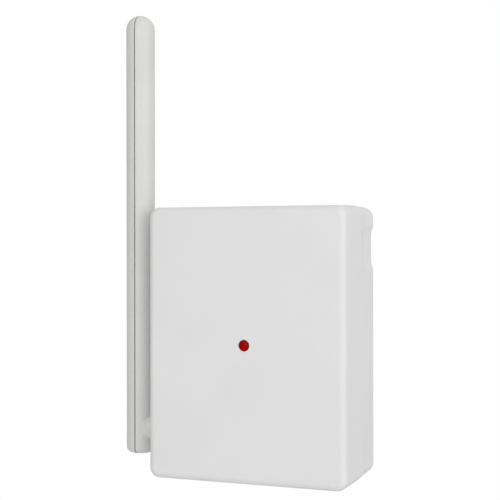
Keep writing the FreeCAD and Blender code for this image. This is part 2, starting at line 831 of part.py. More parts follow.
def make_blade_carrier():
    margin = d.carrier_margin
    plate = block(
        "carrier_plate",
        (-blade_x - margin, blade_x + margin),
        ahead(d.back_wall, carrier_ahead),
        (-d.ground_drop - margin, d.blade_width / 2 + margin / 2),
    )
    through = ahead(d.back_wall - d.past, carrier_ahead + d.past)
    thick, tall = d.blade_thickness + 2 * d.seat_gap, d.blade_width + 2 * d.seat_gap
    slots = [
        block(f"carrier_slot_{word}", around(x, thick), through, around(0, tall))
        for word, x in (("left", -blade_x), ("right", blade_x))
    ]
    hole = rod("carrier_hole", ground_root + d.seat_gap, 0, through, -d.ground_drop)
    node(cut("blade_carrier", plate, [*slots, hole]), "blade_carrier")


def make_ground_strap():
    """A bent sheet from the ground pin's rivet down behind the board and forward over the socket."""
    body = new_body("ground_strap")
    back, front = -shoulder_ahead, -shoulder_ahead - d.strap_thickness
    high = -d.ground_drop + d.strap_width / 2
    reach = -ground_slot_ahead - d.strap_width / 2
    outline = [
        (back, strap_low),
        (back, high),
        (front, high),
        (front, strap_high),
        (reach, strap_high),
        (reach, strap_low),
    ]
    add(body, "strap_sheet", "side", (0, 0, -d.strap_width / 2), [outline], d.strap_width)
    eye = [(0, -d.ground_drop, d.rivet_radius + d.seat_gap)]
    take(body, "strap_eye", "front", (0, 0, shoulder_ahead - d.past), eye, d.strap_thickness + 2 * d.past)
    foot = [(0, -ground_slot_ahead, d.rivet_radius + d.seat_gap)]
    take(body, "strap_foot", "top", (0, 0, strap_low - d.past), foot, d.strap_thickness + 2 * d.past)
    node(body, "ground_strap")


# The lamp socket in the underside: an insulating block, its lid and three contacts.


def make_socket_block():
    body = new_body("socket_block")
    front, back = -socket_ahead[1], -socket_ahead[0]
    neck = rectangle((-socket_half, socket_half), (front, back))
    add(body, "socket_neck", "top", (0, 0, case_bottom), [neck], d.socket_height)
    soften(body, "Fillet", "socket_face_edges", d.socket_edge_radius, level("Z", case_bottom))
    wide = socket_half + d.flange_margin
    flange = rectangle((-wide, wide), (front - d.flange_margin, back + d.flange_margin))
    flange_low = inner_bottom + d.seat_gap
    add(body, "socket_flange", "top", (0, 0, flange_low), [flange], flange_top - flange_low)
    slot_y = -slots_ahead
    face_top = case_bottom + d.socket_face
    cavities = [
        rectangle(around(x, d.cavity_width), around(slot_y, d.cavity_length)) for x in (-blade_x, blade_x)
    ]
    sleeve_radius = d.sleeve_bore + d.contact_sheet + 2 * d.seat_gap
    cavities.append((0, -ground_slot_ahead, sleeve_radius))
    take(body, "cavities", "top", (0, 0, face_top), cavities, d.socket_height)
    slots = [
        rectangle(around(-blade_x, d.slot_width), around(slot_y, d.line_slot_length)),
        rectangle(around(blade_x, d.slot_width), around(slot_y, d.neutral_slot_length)),
        (0, -ground_slot_ahead, d.ground_hole_radius),
    ]
    take(body, "face_slots", "top", (0, 0, case_bottom - d.past), slots, d.socket_face + 2 * d.past)
    node(body, "socket_block")


def make_socket_contact(name, x):
    """A folded spring contact: two leaves under a bridge, and a tail that reaches the board."""
    body = new_body(name)
    inner, outer = d.contact_gap / 2, d.contact_gap / 2 + d.contact_sheet
    low = case_bottom + d.socket_face + d.contact_above_face
    high = socket_top - d.contact_below_top
    outline = [
        (-outer, low),
        (-inner, low),
        (-inner, high - d.contact_sheet),
        (inner, high - d.contact_sheet),
        (inner, low),
        (outer, low),
        (outer, high),
        (-outer, high),
    ]
    start = slots_ahead - d.contact_width / 2
    add(body, f"{name}_leaves", "front", (x, 0, start), [outline], d.contact_width)
    tail_start = d.board_from_back - d.seat_gap - d.contact_sheet
    tail = rectangle(around(0, d.contact_tail_width), (high - d.contact_sheet, high + d.contact_tail_reach))
    add(body, f"{name}_tail", "front", (x, 0, tail_start), [tail], d.contact_sheet)
    node(body, name)


def make_ground_contact():
    body = new_body("socket_ground_contact")
    low = case_bottom + d.socket_face + d.contact_above_face
    high = socket_top - d.contact_below_top
    outer = d.sleeve_bore + d.contact_sheet
    outline = [
        (d.sleeve_bore, low),
        (outer, low),
        (outer, high),
        (d.rivet_radius, high),
        (d.rivet_radius, strap_high),
        (0, strap_high),
        (0, high - d.contact_sheet),
        (d.sleeve_bore, high - d.contact_sheet),
    ]
    spin(body, "sleeve_turning", "front", (0, 0, ground_slot_ahead), outline)
    node(body, "socket_ground_contact")


def make_socket_retainer():
    plate = block(
        "retainer_plate",
        (-socket_half, socket_half),
        ahead(*socket_ahead),
        (socket_top, retainer_top),
    )
    through = (socket_top - d.past, retainer_top + d.past)
    tail_middle = -d.board_from_back + d.seat_gap + d.contact_sheet / 2
    slots = [
        block(
            f"retainer_slot_{word}",
            around(x, d.contact_tail_width + 4 * d.seat_gap),
            around(tail_middle, d.contact_sheet + 4 * d.seat_gap),
            through,
        )
        for word, x in (("left", -blade_x), ("right", blade_x))
    ]
    hole = rod("retainer_hole", d.rivet_radius + 2 * d.seat_gap, 0, -ground_slot_ahead, through)
    node(cut("socket_retainer", plate, [*slots, hole]), "socket_retainer")


# The main board and what is soldered on its front face.


def make_main_board():
    plate = block(
        "board_plate",
        (-board_half, board_half),
        ahead(d.board_from_back, board_ahead),
        (board_low, board_high),
    )
    through = ahead(d.board_from_back - d.past, board_ahead + d.past)
    thick, tall = d.blade_thickness + 4 * d.seat_gap, d.tail_width + 4 * d.seat_gap
    openings = [
        block(f"tail_slot_{word}", around(x, thick), through, around(0, tall))
        for word, x in (("left", -blade_x), ("right", blade_x))
    ]
    hole_radius = d.board_screw_radius + 2 * d.seat_gap
    openings += [
        rod(f"board_hole_{number}", hole_radius, x, through, z)
        for number, (x, z) in enumerate(board_screw_places)
    ]
    node(cut("main_board", plate, openings), "main_board")


def make_board_screws():
    screws = []
    for number, place in enumerate(board_screw_places):
        seat = -board_ahead
        tip, head = seat + d.board_screw_length, seat - d.board_head_height
        name = f"board_screw_{number}"
        screws.append(screw(name, "y", place, seat, tip, head, d.board_screw_radius, d.board_head_radius))
    node(group("board_screws", screws), "board_screws")


def on_board(name, x, z, height, width=None, length=None, radius=None):
    """A box or a round can that stands on the board's front face."""
    span = ahead(board_ahead, board_ahead + height)
    if radius is not None:
        return rod(name, radius, x, span, z)
    return block(name, around(x, width), span, around(z, length))


def make_heat_sink():
    """An extruded angle that stands on the board, with fins towards the side wall."""
    body = new_body("heat_sink")
    low, high = -d.sink_low, d.sink_high
    face, back, tip = sink_face, sink_face + d.sink_thickness, board_half - d.sink_from_side
    outline = [(face, low), (back, low)]
    for number in range(int((value_of(high) - value_of(low)) / SIZES["fin_pitch"])):
        start = low + d.fin_pitch * number + d.fin_thickness
        outline += [
            (back, start),
            (tip, start),
            (tip, start + d.fin_thickness),
            (back, start + d.fin_thickness),
        ]
    outline += [(back, high), (face, high)]
    add(body, "sink_section", "front", (0, 0, board_ahead), [outline], sink_height)
    hole = [(-triac_screw_ahead, 0, d.triac_screw_radius + d.thread_gap)]
    take(body, "sink_hole", "side", (0, 0, face - d.past), hole, d.sink_thickness + d.fin_height + 2 * d.past)
    node(body, "heat_sink")


def make_triac():
    start = board_ahead + d.triac_lead_length
    across = (sink_face - d.triac_thickness, sink_face)
    package = block("triac_package", across, ahead(start, start + triac_height), around(0, d.triac_width))
    middle = sink_face - d.triac_thickness / 2
    leads = [
        block(
            f"triac_lead_{number + 1}",
            around(middle, d.triac_lead_size),
            ahead(board_ahead, start + d.past),
            around(number * d.triac_lead_pitch, d.triac_lead_size),
        )
        for number in (-1, 0, 1)
    ]
    reach = (sink_face - d.triac_thickness - d.past, sink_face + d.past)
    hole = rod("triac_hole", d.triac_screw_radius + d.seat_gap, reach, -triac_screw_ahead, 0)
    node(cut("triac", fuse("triac_blank", [package, *leads]), [hole]), "triac")
    seat = sink_face - d.triac_thickness
    tip, head = board_half - d.sink_from_side, seat - d.board_head_height
    place = (-triac_screw_ahead, 0)
    fixing = screw("heat_sink_screw", "x", place, seat, tip, head, d.triac_screw_radius, d.screw_head_radius)
    node(fixing, "heat_sink_screw")


def make_choke():
    x, z = choke_x, choke_z
    layer, gap = d.wire_layer, d.wire_gap
    core_span = ahead(board_ahead + layer, board_ahead + d.choke_height - layer)
    core = rod("core_disc", d.choke_radius - layer, x, core_span, z)
    core_hole = rod("core_hole", d.choke_bore + layer, x, ahead(board_ahead, board_ahead + d.choke_height), z)
    node(cut("choke_core", core, [core_hole]), "choke_core")
    coat = on_board("winding_disc", x, z, d.choke_height, radius=d.choke_radius)
    bore_span = ahead(board_ahead - d.past, board_ahead + d.choke_height + d.past)
    bore = rod("winding_bore", d.choke_bore, x, bore_span, z)
    inside_span = ahead(board_ahead + layer - gap, board_ahead + d.choke_height - layer + gap)
    inside = rod("winding_inside", d.choke_radius - layer + gap, x, inside_span, z)
    inner_wall = rod("winding_inner_wall", d.choke_bore + layer - gap, x, inside_span, z)
    tunnel = cut("winding_tunnel", inside, [inner_wall])
    opening = block("winding_opening", around(x, d.winding_opening), bore_span, (z, z + 2 * d.choke_radius))
    node(cut("choke_winding", coat, [bore, tunnel, opening]), "choke_winding")


def make_fuse():
    x, z, y = fuse_x, fuse_z, -(board_ahead + d.fuse_height)
    tube = rod("fuse_tube", d.fuse_radius - d.fuse_cap_step, around(x, d.fuse_length), y, z)
    caps = []
    clips = []
    for side, word in ((-1, "left"), (1, "right")):
        outer = x + side * d.fuse_length / 2
        inner = outer - side * d.fuse_cap_length
        span = (outer, inner) if side < 0 else (inner, outer)
        caps.append(rod(f"fuse_cap_{word}", d.fuse_radius, span, y, z))
        middle = x + side * (d.fuse_length - d.fuse_cap_length) / 2
        half = d.fuse_radius + d.clip_sheet + d.seat_gap
        saddle = block(
            f"clip_block_{word}",
            around(middle, d.fuse_cap_length / 2),
            (y, -board_ahead),
            (z - half, z + half),
        )
        room = rod(f"clip_room_{word}", d.fuse_radius + d.seat_gap, around(middle, d.fuse_cap_length), y, z)
        clips.append(cut(f"fuse_clip_{word}", saddle, [room]))
    node(fuse("fuse", [tube, *caps]), "fuse")
    node(group("fuse_clips", clips), "fuse_clips")


def make_varistor():
    x, z = fuse_x - d.varistor_from_fuse, varistor_z
    centre = -(board_ahead + d.varistor_stand + d.varistor_radius)
    disc = rod("varistor_disc", d.varistor_radius, x, centre, around(z, d.varistor_thickness))
    legs = [
        block(
            f"varistor_leg_{number}",
            around(x + number * d.varistor_radius / 2, d.pin_width),
            (centre, -board_ahead),
            around(z, d.pin_width),
        )
        for number in (-1, 1)
    ]
    node(fuse("varistor", [disc, *legs]), "varistor")


def make_capacitors():
    film_height = front_inside - d.film_behind_wall - board_ahead
    film = on_board("film_case", film_x, film_z, film_height, d.film_width, d.film_length)
    node(film, "film_capacitor")
    can_z, can_height = radio_high - d.can_from_top, radio_stand - d.can_behind_radio
    can = on_board("can_case", can_x, can_z, can_height, radius=d.can_radius)
    node(can, "smoothing_capacitor")
    dropper = block(
        "dropper_case",
        dropper_x,
        ahead(board_ahead, radio_ahead - d.dropper_behind_radio),
        around(dropper_z, d.dropper_length),
    )
    node(dropper, "dropper_capacitor")


def make_controller_chip():
    x = -board_half + d.chip_from_side + d.chip_length / 2
    half = d.chip_width / 2 + d.pin_reach
    z = dropper_z - d.dropper_length / 2 - d.chip_below_dropper - half
    stand = d.pin_width / 2
    package = block(
        "chip_package",
        around(x, d.chip_length),
        ahead(board_ahead + stand, board_ahead + stand + d.chip_height),
        around(z, d.chip_width),
    )
    pins = []
    for number in range(SIZES["chip_pins"]):
        offset = (number - (SIZES["chip_pins"] - 1) / 2) * d.pin_pitch
        span = ahead(board_ahead, board_ahead + d.pin_height)
        pins.append(block(f"chip_pin_{number}", around(x + offset, d.pin_width), span, around(z, 2 * half)))
    node(fuse("controller_chip", [package, *pins]), "controller_chip")


# The radio board stands in front of the main board and carries the status lamp, the switch and the jack.


def make_radio_board():
    plate = block(
        "radio_plate",
        (radio_left, radio_right),
        ahead(radio_ahead, radio_front),
        (radio_low, radio_high),
    )
    node(plate, "radio_board")
    left, right = radio_left + d.spacer_from_side, radio_right - d.spacer_from_side
    low, high = radio_low + d.spacer_from_end, radio_high - d.spacer_from_end
    places = [(left, low), (left, high), (right, high)]
    spacers = [
        on_board(f"spacer_{number}", x, z, radio_stand, radius=d.spacer_radius)
        for number, (x, z) in enumerate(places)
    ]
    node(group("board_spacers", spacers), "board_spacers")
    header_low = radio_low + d.header_from_bottom
    header = block(
        "header_strip",
        (lead_rise_x + d.jack_width / 2 + d.header_from_jack, fuse_x - d.fuse_length / 2 - d.header_from_fuse),
        ahead(board_ahead, radio_ahead),
        (header_low, header_low + d.header_width),
    )
    node(header, "board_header")


def make_status_lamp():
    body = new_body("status_led")
    led, flange = d.led_radius, d.led_radius + d.led_flange
    top = radio_front + d.led_height
    outline = [
        (0, -radio_front),
        (0, -top),
        (led, -top + led / 2),
        (led, -radio_front - d.led_flange),
        (flange, -radio_front - d.led_flange),
        (flange, -radio_front),
    ]
    spin(body, "led_turning", "top", (0, 0, lens_z), outline)
    node(body, "status_led")


def make_lens():
    """The round red window in the face: a low dome in front and a collar behind the wall."""
    body = new_body("lens")
    radius, collar = d.lens_radius, d.lens_radius + d.lens_collar
    rim = -(front_ahead - d.lens_recess - d.lens_dome)
    crown = -(front_ahead - d.lens_recess)
    seat = -(front_inside - d.seat_gap)
    dome = (radius * radius + d.lens_dome * d.lens_dome) / (2 * d.lens_dome)
    outline = [
        (0, seat + d.lens_collar_depth),
        (0, crown),
        (radius, rim, dome, 1),
        (radius, seat),
        (collar, seat),
        (collar, seat + d.lens_collar_depth),
    ]
    spin(body, "lens_turning", "top", (0, 0, lens_z), outline)
    node(body, "status_lens")


def make_switch():
    x, y = -d.button_x, -button_ahead
    housing = block(
        "switch_housing",
        around(x, d.switch_width),
        ahead(radio_ahead - d.switch_depth, radio_ahead),
        (radio_high - d.switch_height, radio_high),
    )
    floor = radio_high - d.plunger_depth - d.button_travel - d.plunger_gap
    well = rod("switch_well", d.plunger_radius + d.plunger_gap, x, y, (floor, radio_high + d.past))
    node(cut("push_switch", housing, [well]), "push_switch")
    plunger_span = (radio_high - d.plunger_depth, plunger_top)
    node(rod("switch_plunger", d.plunger_radius, x, y, plunger_span), "switch_plunger")


def make_button():
    body = new_body("button_cap")
    head, stem, collar = d.button_radius, d.button_stem_radius, d.button_radius + d.button_collar
    collar_top = inner_top - d.seat_gap
    edge = d.button_edge_radius
    outline = [
        (0, plunger_top),
        (stem, plunger_top),
        (stem, collar_top - d.button_collar_height),
        (collar, collar_top - d.button_collar_height),
        (collar, collar_top),
        (head, collar_top),
        (head, button_head_top - edge),
        (head - edge, button_head_top, edge, 1),
        (0, button_head_top),
    ]
    spin(body, "button_turning", "front", (-d.button_x, 0, button_ahead), outline)
    node(body, "button_cap")


# The aerial: two half shells that meet on a plane through the rod's axis, a hub that turns in the case's side
# wall, and the whip inside.


def shell_section():
    """The half section of the hollow rod, from its axis outwards, with its foot at the sketch's origin."""
    radius, wall, foot, length = d.aerial_radius, d.aerial_wall, d.aerial_foot_radius, d.aerial_length
    return [
        (0, 0),
        (radius - foot, 0),
        (radius, foot, foot, 1),
        (radius, length - radius),
        (0, length, radius, 1),
        (0, length - wall),
        (radius - wall, length - radius, radius - wall, -1),
        (radius - wall, wall),
        (0, wall),
    ]


def seam_band():
    """What is cut back along the seam: all that lies outside the rod's outline drawn in by the seam's depth."""
    radius, foot, length, deep = d.aerial_radius, d.aerial_foot_radius, d.aerial_length, d.seam_depth
    half, corner, straight = radius - deep, foot - deep, length - radius
    outside = rectangle((-radius - d.past, radius + d.past), (-d.past, length + d.past))
    inside = [
        (corner - half, deep, corner, 1),
        (half - corner, deep),
        (half, foot, corner, 1),
        (half, straight),
        (0, length - deep, half, 1),
        (-half, straight, half, 1),
        (-half, foot),
    ]
    return [outside, inside]


aerial_place = (-pivot_ahead, aerial_foot, aerial_x)


def make_outer_shell():
    body = new_body("aerial_outer_shell")
    spin(body, "outer_half", "side", aerial_place, shell_section(), 180)
    seam = take(body, "outer_seam", "side", aerial_place, seam_band(), d.seam_width / 2)
    seam.Reversed = False
    across = (aerial_x - d.rib_reach, aerial_x)
    width = (-pivot_ahead - d.rib_half_width, -pivot_ahead + d.rib_half_width)
    count = int((SIZES["aerial_length"] - SIZES["rib_start"]) / SIZES["rib_spacing"])
    for number in range(count):
        height = aerial_foot + d.rib_start + number * d.rib_spacing
        rib = [rectangle(across, width)]
        add(body, f"rib_{number}", "top", (0, 0, height), rib, d.rib_thickness)
    channel = [(aerial_x, -pivot_ahead, d.whip_radius + d.seat_gap)]
    channel_start = aerial_foot + d.rib_start - d.past
    channel_length = count * d.rib_spacing
    take(body, "whip_channel", "top", (0, 0, channel_start), channel, channel_length)
    node(body, "aerial_outer_shell")


def make_inner_shell():
    body = new_body("aerial_inner_shell")
    spin(body, "inner_half", "side", aerial_place, shell_section(), 180, reverse=True)
    take(body, "inner_seam", "side", aerial_place, seam_band(), d.seam_width / 2)
    pivot = (-pivot_ahead, pivot_z)
    hub_start = aerial_x + d.whip_radius + 2 * d.seat_gap
    add(body, "hub", "side", (*pivot, hub_start), [(0, 0, d.hub_radius)], hub_end - hub_start)
    add(body, "shaft", "side", (*pivot, hub_end - d.past), [(0, 0, d.shaft_radius)], shaft_tip - hub_end + d.past)
    groove = [(0, 0, d.shaft_radius + d.past), (0, 0, d.shaft_radius - d.clip_depth)]
    groove_start = clip_start - d.running_gap
    take(body, "clip_groove", "side", (*pivot, groove_start), groove, d.clip_thickness + 2 * d.running_gap)
    bore = [(0, 0, d.lead_bore_radius)]
    take(body, "lead_bore", "side", (*pivot, aerial_x), bore, shaft_tip - aerial_x + d.past)
    node(body, "aerial_inner_shell")


def make_whip():
    """A straight stiff wire up the middle of the rod, with a foot that turns into the hub's bore."""
    span = (pivot_z - d.whip_below_pivot, aerial_top - d.whip_below_top)
    stem = rod("whip_stem", d.whip_radius, aerial_x, -pivot_ahead, span)
    foot = rod("whip_foot", d.whip_radius, (aerial_x, lead_start - d.seat_gap), -pivot_ahead, pivot_z)
    node(fuse("aerial_whip", [stem, foot]), "aerial_whip")


def make_hub_fixings():
    y, z = -pivot_ahead, pivot_z
    inner = d.shaft_radius + d.washer_gap
    span = (bearing_end + d.seat_gap, washer_end)
    through = (bearing_end - d.past, shaft_tip + d.past)
    washer = rod("washer_disc", inner + d.washer_width, span, y, z)
    node(cut("friction_washer", washer, [rod("washer_hole", inner, through, y, z)]), "friction_washer")
    inner = d.shaft_radius - d.clip_depth + d.running_gap
    ring = rod("clip_disc", inner + d.clip_width, (clip_start, clip_end), y, z)
    hole = rod("clip_hole", inner, through, y, z)
    mouth_width = 1.6 * inner
    mouth = block("clip_mouth", through, around(y, mouth_width), (z - 2 * d.hub_radius, z))
    node(cut("retaining_clip", ring, [hole, mouth]), "retaining_clip")


def make_aerial_lead():
    """A wire from the hub's bore to the jack: a straight run, a quarter bend upwards and a straight rise."""
    y = -pivot_ahead
    bend, rise_x = lead_bend_x, lead_rise_x
    jack_low = radio_low + d.seat_gap
    run = rod("lead_run", d.lead_radius, (lead_start, bend), y, pivot_z)
    rise = rod("lead_rise", d.lead_radius, rise_x, y, (pivot_z + d.lead_bend_radius, jack_low))
    curve = doc.addObject("Part::Torus", "lead_curve")
    upright = Rotation(Vector(0, 0, -1), Vector(1, 0, 0), Vector(0, -1, 0), "XYZ")
    curve.Placement = Placement(Vector(), upright)
    curve.Angle3 = 90
    bind(curve, "Radius1", d.lead_bend_radius)
    bind(curve, "Radius2", d.lead_radius)
    for axis, size in zip("xyz", (bend, y, pivot_z + d.lead_bend_radius)):
        bind(curve, f"Placement.Base.{axis}", size)
    node(fuse("aerial_lead", [run, curve, rise]), "aerial_lead")
    jack = block(
        "jack_block",
        around(rise_x, d.jack_width),
        (-radio_ahead, y + d.lead_radius + d.seat_gap),
        (jack_low, jack_low + d.jack_height),
    )
    node(jack, "aerial_jack")


def check(thing):
    """Stops when a piece failed or is not a sound solid."""
    state = thing.State
    if "Invalid" in state or "Error" in state:
        raise ValueError(f"{thing.Label}: {state}")
    if thing in nodes and (thing.Shape.isNull() or not thing.Shape.isValid()):
        raise ValueError(f"{thing.Label}: the shape is not sound")


make_front_cover()
make_back_cover()
make_case_screws()
make_blade("line_blade", blade_x)
make_blade("neutral_blade", -blade_x)
make_ground_pin()
make_blade_carrier()
make_ground_strap()
make_socket_block()
make_socket_contact("socket_line_contact", -blade_x)
make_socket_contact("socket_neutral_contact", blade_x)
make_ground_contact()
make_socket_retainer()
make_main_board()
make_board_screws()
make_heat_sink()
make_triac()
make_choke()
make_fuse()
make_varistor()
make_capacitors()
make_controller_chip()
make_radio_board()
make_status_lamp()
make_lens()
make_switch()
make_button()
make_outer_shell()
make_inner_shell()
make_whip()
make_hub_fixings()
make_aerial_lead()
doc.recompute()
for thing in doc.Objects:
    check(thing)
os.makedirs("parts", exist_ok=True)
for thing in nodes:
    thing.Shape.exportStep(os.path.join("parts", f"{thing.Label}.step"))
    print(f"{thing.Label}: {len(thing.Shape.Solids)} solid, {thing.Shape.Volume:.1f} mm3")
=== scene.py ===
from math import cos, pi, radians, sin, sqrt

import bmesh
import bpy
from mathutils import Matrix, Vector


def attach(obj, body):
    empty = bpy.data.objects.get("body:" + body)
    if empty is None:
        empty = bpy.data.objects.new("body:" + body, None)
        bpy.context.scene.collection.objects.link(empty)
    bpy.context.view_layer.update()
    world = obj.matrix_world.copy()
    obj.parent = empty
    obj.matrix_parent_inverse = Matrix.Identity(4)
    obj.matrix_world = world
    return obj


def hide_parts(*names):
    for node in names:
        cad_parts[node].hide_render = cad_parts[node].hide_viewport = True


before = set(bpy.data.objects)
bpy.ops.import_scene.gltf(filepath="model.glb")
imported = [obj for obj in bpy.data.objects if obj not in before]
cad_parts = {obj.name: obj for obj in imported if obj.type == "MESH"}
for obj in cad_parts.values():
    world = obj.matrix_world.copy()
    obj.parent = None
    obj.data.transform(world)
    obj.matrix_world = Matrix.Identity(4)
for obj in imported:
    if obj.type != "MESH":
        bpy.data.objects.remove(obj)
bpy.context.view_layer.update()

# The studio
# The module hangs in the middle of a white shooting table: a matt acrylic floor well below it, white all
# round and dimmer on the left, with two large soft boxes, one on the right and one in front.


def wire(tree, kind, setup=None, feeds=(), **inputs):
    """Places a shader node, sets it up, and joins or sets its inputs by order and by name."""
    made = tree.nodes.new("ShaderNode" + kind)
    for word, value in (setup or {}).items():
        setattr(made, word, value)
    named = ((word.replace("_", " "), value) for word, value in inputs.items())
    for key, value in [*enumerate(feeds), *named]:
        if isinstance(value, bpy.types.NodeSocket):
            tree.links.new(value, made.inputs[key])
        elif value is not None:
            made.inputs[key].default_value = value
    return made


studio = bpy.context.scene
studio.view_settings.view_transform = "Standard"
surround = bpy.data.worlds.new("white_surround")
surround.use_nodes = True
studio.world = surround
sky = surround.node_tree
white = (1, 1, 1, 1)

# The camera sees plain white. What shines on the module is a little dimmer, most of all on the left.
left_light, right_light = 0.46, 0.82
direction = wire(sky, "TexCoord").outputs["Generated"]
sideways = wire(sky, "SeparateXYZ", feeds=(direction,)).outputs["X"]
fade = {"From_Min": -0.7, "From_Max": -0.2, "To_Min": left_light, "To_Max": right_light}
strength = wire(sky, "MapRange", Value=sideways, **fade).outputs[0]
cast = wire(sky, "Background", Color=white, Strength=strength).outputs[0]
seen = wire(sky, "Background", Color=white, Strength=1.0).outputs[0]
in_view = wire(sky, "LightPath").outputs["Is Camera Ray"]
choice = wire(sky, "MixShader", feeds=(in_view, cast, seen)).outputs[0]
sky.links.new(choice, sky.nodes["World Output"].inputs["Surface"])


def soft_light(name, place, watts):
    """A square soft box that looks at the middle of the module."""
    lamp = bpy.data.lights.new(name, "AREA")
    lamp.size, lamp.energy = 0.45, watts
    holder = bpy.data.objects.new(name, lamp)
    holder.location = place
    holder.rotation_euler = (-Vector(place)).to_track_quat("-Z", "Y").to_euler()
    studio.collection.objects.link(holder)


soft_light("key_box", (0.68, -0.39, 0.14), 1.22)
soft_light("front_box", (0.0, -0.79, 0.14), 1.16)

# The photograph's viewpoint, found from the case's edges, the parting line and the rod.
lens_data = bpy.data.cameras.new("camera")
lens_data.lens, lens_data.sensor_width = 75.7, 36
lens_data.clip_start = 0.01
camera = bpy.data.objects.new("camera", lens_data)
camera.location = (0.0992, -0.3006, 0.0141)
camera.rotation_euler = (radians(89.975), radians(0.07), radians(19.82))
studio.collection.objects.link(camera)
studio.camera = camera

floor_height, floor_reach = -0.165, 1.4
table_mesh = bpy.data.meshes.new("shooting_table")
table_bm = bmesh.new()
bmesh.ops.create_grid(table_bm, x_segments=8, y_segments=8, size=floor_reach)
bmesh.ops.translate(table_bm, vec=(0, 0, floor_height), verts=table_bm.verts)
table_bm.to_mesh(table_mesh)
table_bm.free()
table = bpy.data.objects.new("shooting_table", table_mesh)
studio.collection.objects.link(table)
acrylic = bpy.data.materials.new("matt_acrylic")
acrylic.use_nodes = True
acrylic_tree = acrylic.node_tree
haze_spot = wire(acrylic_tree, "TexCoord").outputs["Object"]
haze = wire(acrylic_tree, "TexNoise", Scale=9.0, Vector=haze_spot).outputs["Fac"]
haze_range = wire(acrylic_tree, "MapRange", Value=haze, To_Min=0.5, To_Max=0.6).outputs[0]
paint = acrylic_tree.nodes["Principled BSDF"]
paint.inputs["Base Color"].default_value = (0.8, 0.8, 0.8, 1)
acrylic_tree.links.new(haze_range, paint.inputs["Roughness"])
lit_through = wire(acrylic_tree, "Emission", Color=white, Strength=1.0).outputs[0]
in_view = wire(acrylic_tree, "LightPath").outputs["Is Camera Ray"]
choice = wire(acrylic_tree, "MixShader", feeds=(in_view, paint.outputs[0], lit_through)).outputs[0]
acrylic_tree.links.new(choice, acrylic_tree.nodes["Material Output"].inputs["Surface"])
table_mesh.materials.append(acrylic)

# Front cover
# A deep tray injection moulded in off-white flame-retardant plastic with a fine satin texture. Its four
# bosses take the case screws, and a round boss on its left side is the bearing of the aerial's hub.

half_width, top, bottom, front, parting = 28.8, 26.0, -50.45, -30.7, -12.9
outline_radius, edge_radius, rim_ease, draft, wall = 2.8, 2.0, 0.2, 0.5, 2.2


def block(x, y, z):
    """A plain block between the given limits. Sizes are in millimetres until a piece is finished."""
    bm = bmesh.new()
    bmesh.ops.create_cube(bm, size=1)
    low, high = (Vector(ends) for ends in zip(x, y, z))
    bmesh.ops.scale(bm, vec=high - low, verts=bm.verts)
    bmesh.ops.translate(bm, vec=(low + high) / 2, verts=bm.verts)
    return bm


def along(axis):
    """Picks the edges that run along an axis."""
    part = "XYZ".index(axis)
    return lambda a, b: (a - b).length - abs(a[part] - b[part]) < 1e-4


def level(axis, place):
    """Picks the edges that lie at one place of an axis."""
    part = "XYZ".index(axis)
    return lambda a, b: abs(a[part] - place) < 1e-3 and abs(b[part] - place) < 1e-3


def rounded(bm, radius, picked, segments=8):
    """Rounds the picked edges."""
    edges = [edge for edge in bm.edges if picked(*(corner.co for corner in edge.verts))]
    tool = {"affect": "EDGES", "segments": segments, "profile": 0.5, "material": -1, "clamp_overlap": False}
    bmesh.ops.bevel(bm, geom=edges, offset=radius, **tool)
    return bm


tray = block((-half_width, half_width), (front, parting), (bottom, top))
rounded(tray, outline_radius, along("Y"))

# The mould's draft: the rim is pushed out from the face's outline, at the corners along their radius.
core_x, core_top, core_bottom = half_width - outline_radius, top - outline_radius, bottom + outline_radius
for corner in tray.verts:
    if corner.co.y > parting - 0.01:
        nearest_x = max(-core_x, min(core_x, corner.co.x))
        nearest_z = max(core_bottom, min(core_top, corner.co.z))
        corner.co += draft * (corner.co - Vector((nearest_x, corner.co.y, nearest_z))).normalized()
rounded(tray, edge_radius, level("Y", front))

# The thumb hollow in each side is straight about its middle and ends in arcs above and below. Its face leans
# outwards to the front, where it runs out.
hollow_middle, hollow_half, hollow_straight = 14.6, 6.3, 3.2
hollow_back, hollow_lean, hollow_curve, hollow_front = 28.4, 0.0373, 6.4, -19.3


def hollow_face(y, z):
    """How far out from the middle of the case the hollow's face lies at a depth and a height."""
    over = min(max(abs(z - hollow_middle) - hollow_straight, 0), hollow_half - hollow_straight)
    return hollow_back - hollow_lean * y + hollow_curve - sqrt(hollow_curve**2 - over**2)


def press_hollows(bm, stations):
    """Divides both sides where the hollows are, in height and at the stations, and presses them in."""
    steps = (1.2, 3.2, 3.8, 4.3, 4.8, 5.2, 5.6, 5.9, 6.2, 6.5)
    cuts = [((0, 0, hollow_middle + way * step), (0, 0, 1)) for way in (-1, 1) for step in steps]
    cuts += [((0, y, 0), (0, 1, 0)) for y in stations]
    behind_edge = front + 2.7
    for side in (-1, 1):
        sides = [flat for flat in bm.faces if flat.normal.x * side > 0.02]
        near = [flat for flat in sides if flat.calc_center_median().y > behind_edge]
        geom = near + list({edge for flat in near for edge in flat.edges})
        geom += list({corner for flat in near for corner in flat.verts})
        for place, normal in cuts:
            geom = bmesh.ops.bisect_plane(bm, geom=geom, plane_co=place, plane_no=normal, dist=1e-4)["geom"]
        for corner in (part for part in geom if isinstance(part, bmesh.types.BMVert)):
            if abs(corner.co.z - hollow_middle) < hollow_half + 0.05 and corner.co.y > hollow_front - 0.01:
                corner.co.x = side * min(side * corner.co.x, hollow_face(corner.co.y, corner.co.z))


press_hollows(tray, (hollow_front, -18.4, -17.4, -16.2, -15.0, -14.0))
rounded(tray, rim_ease, level("Y", parting), 2)


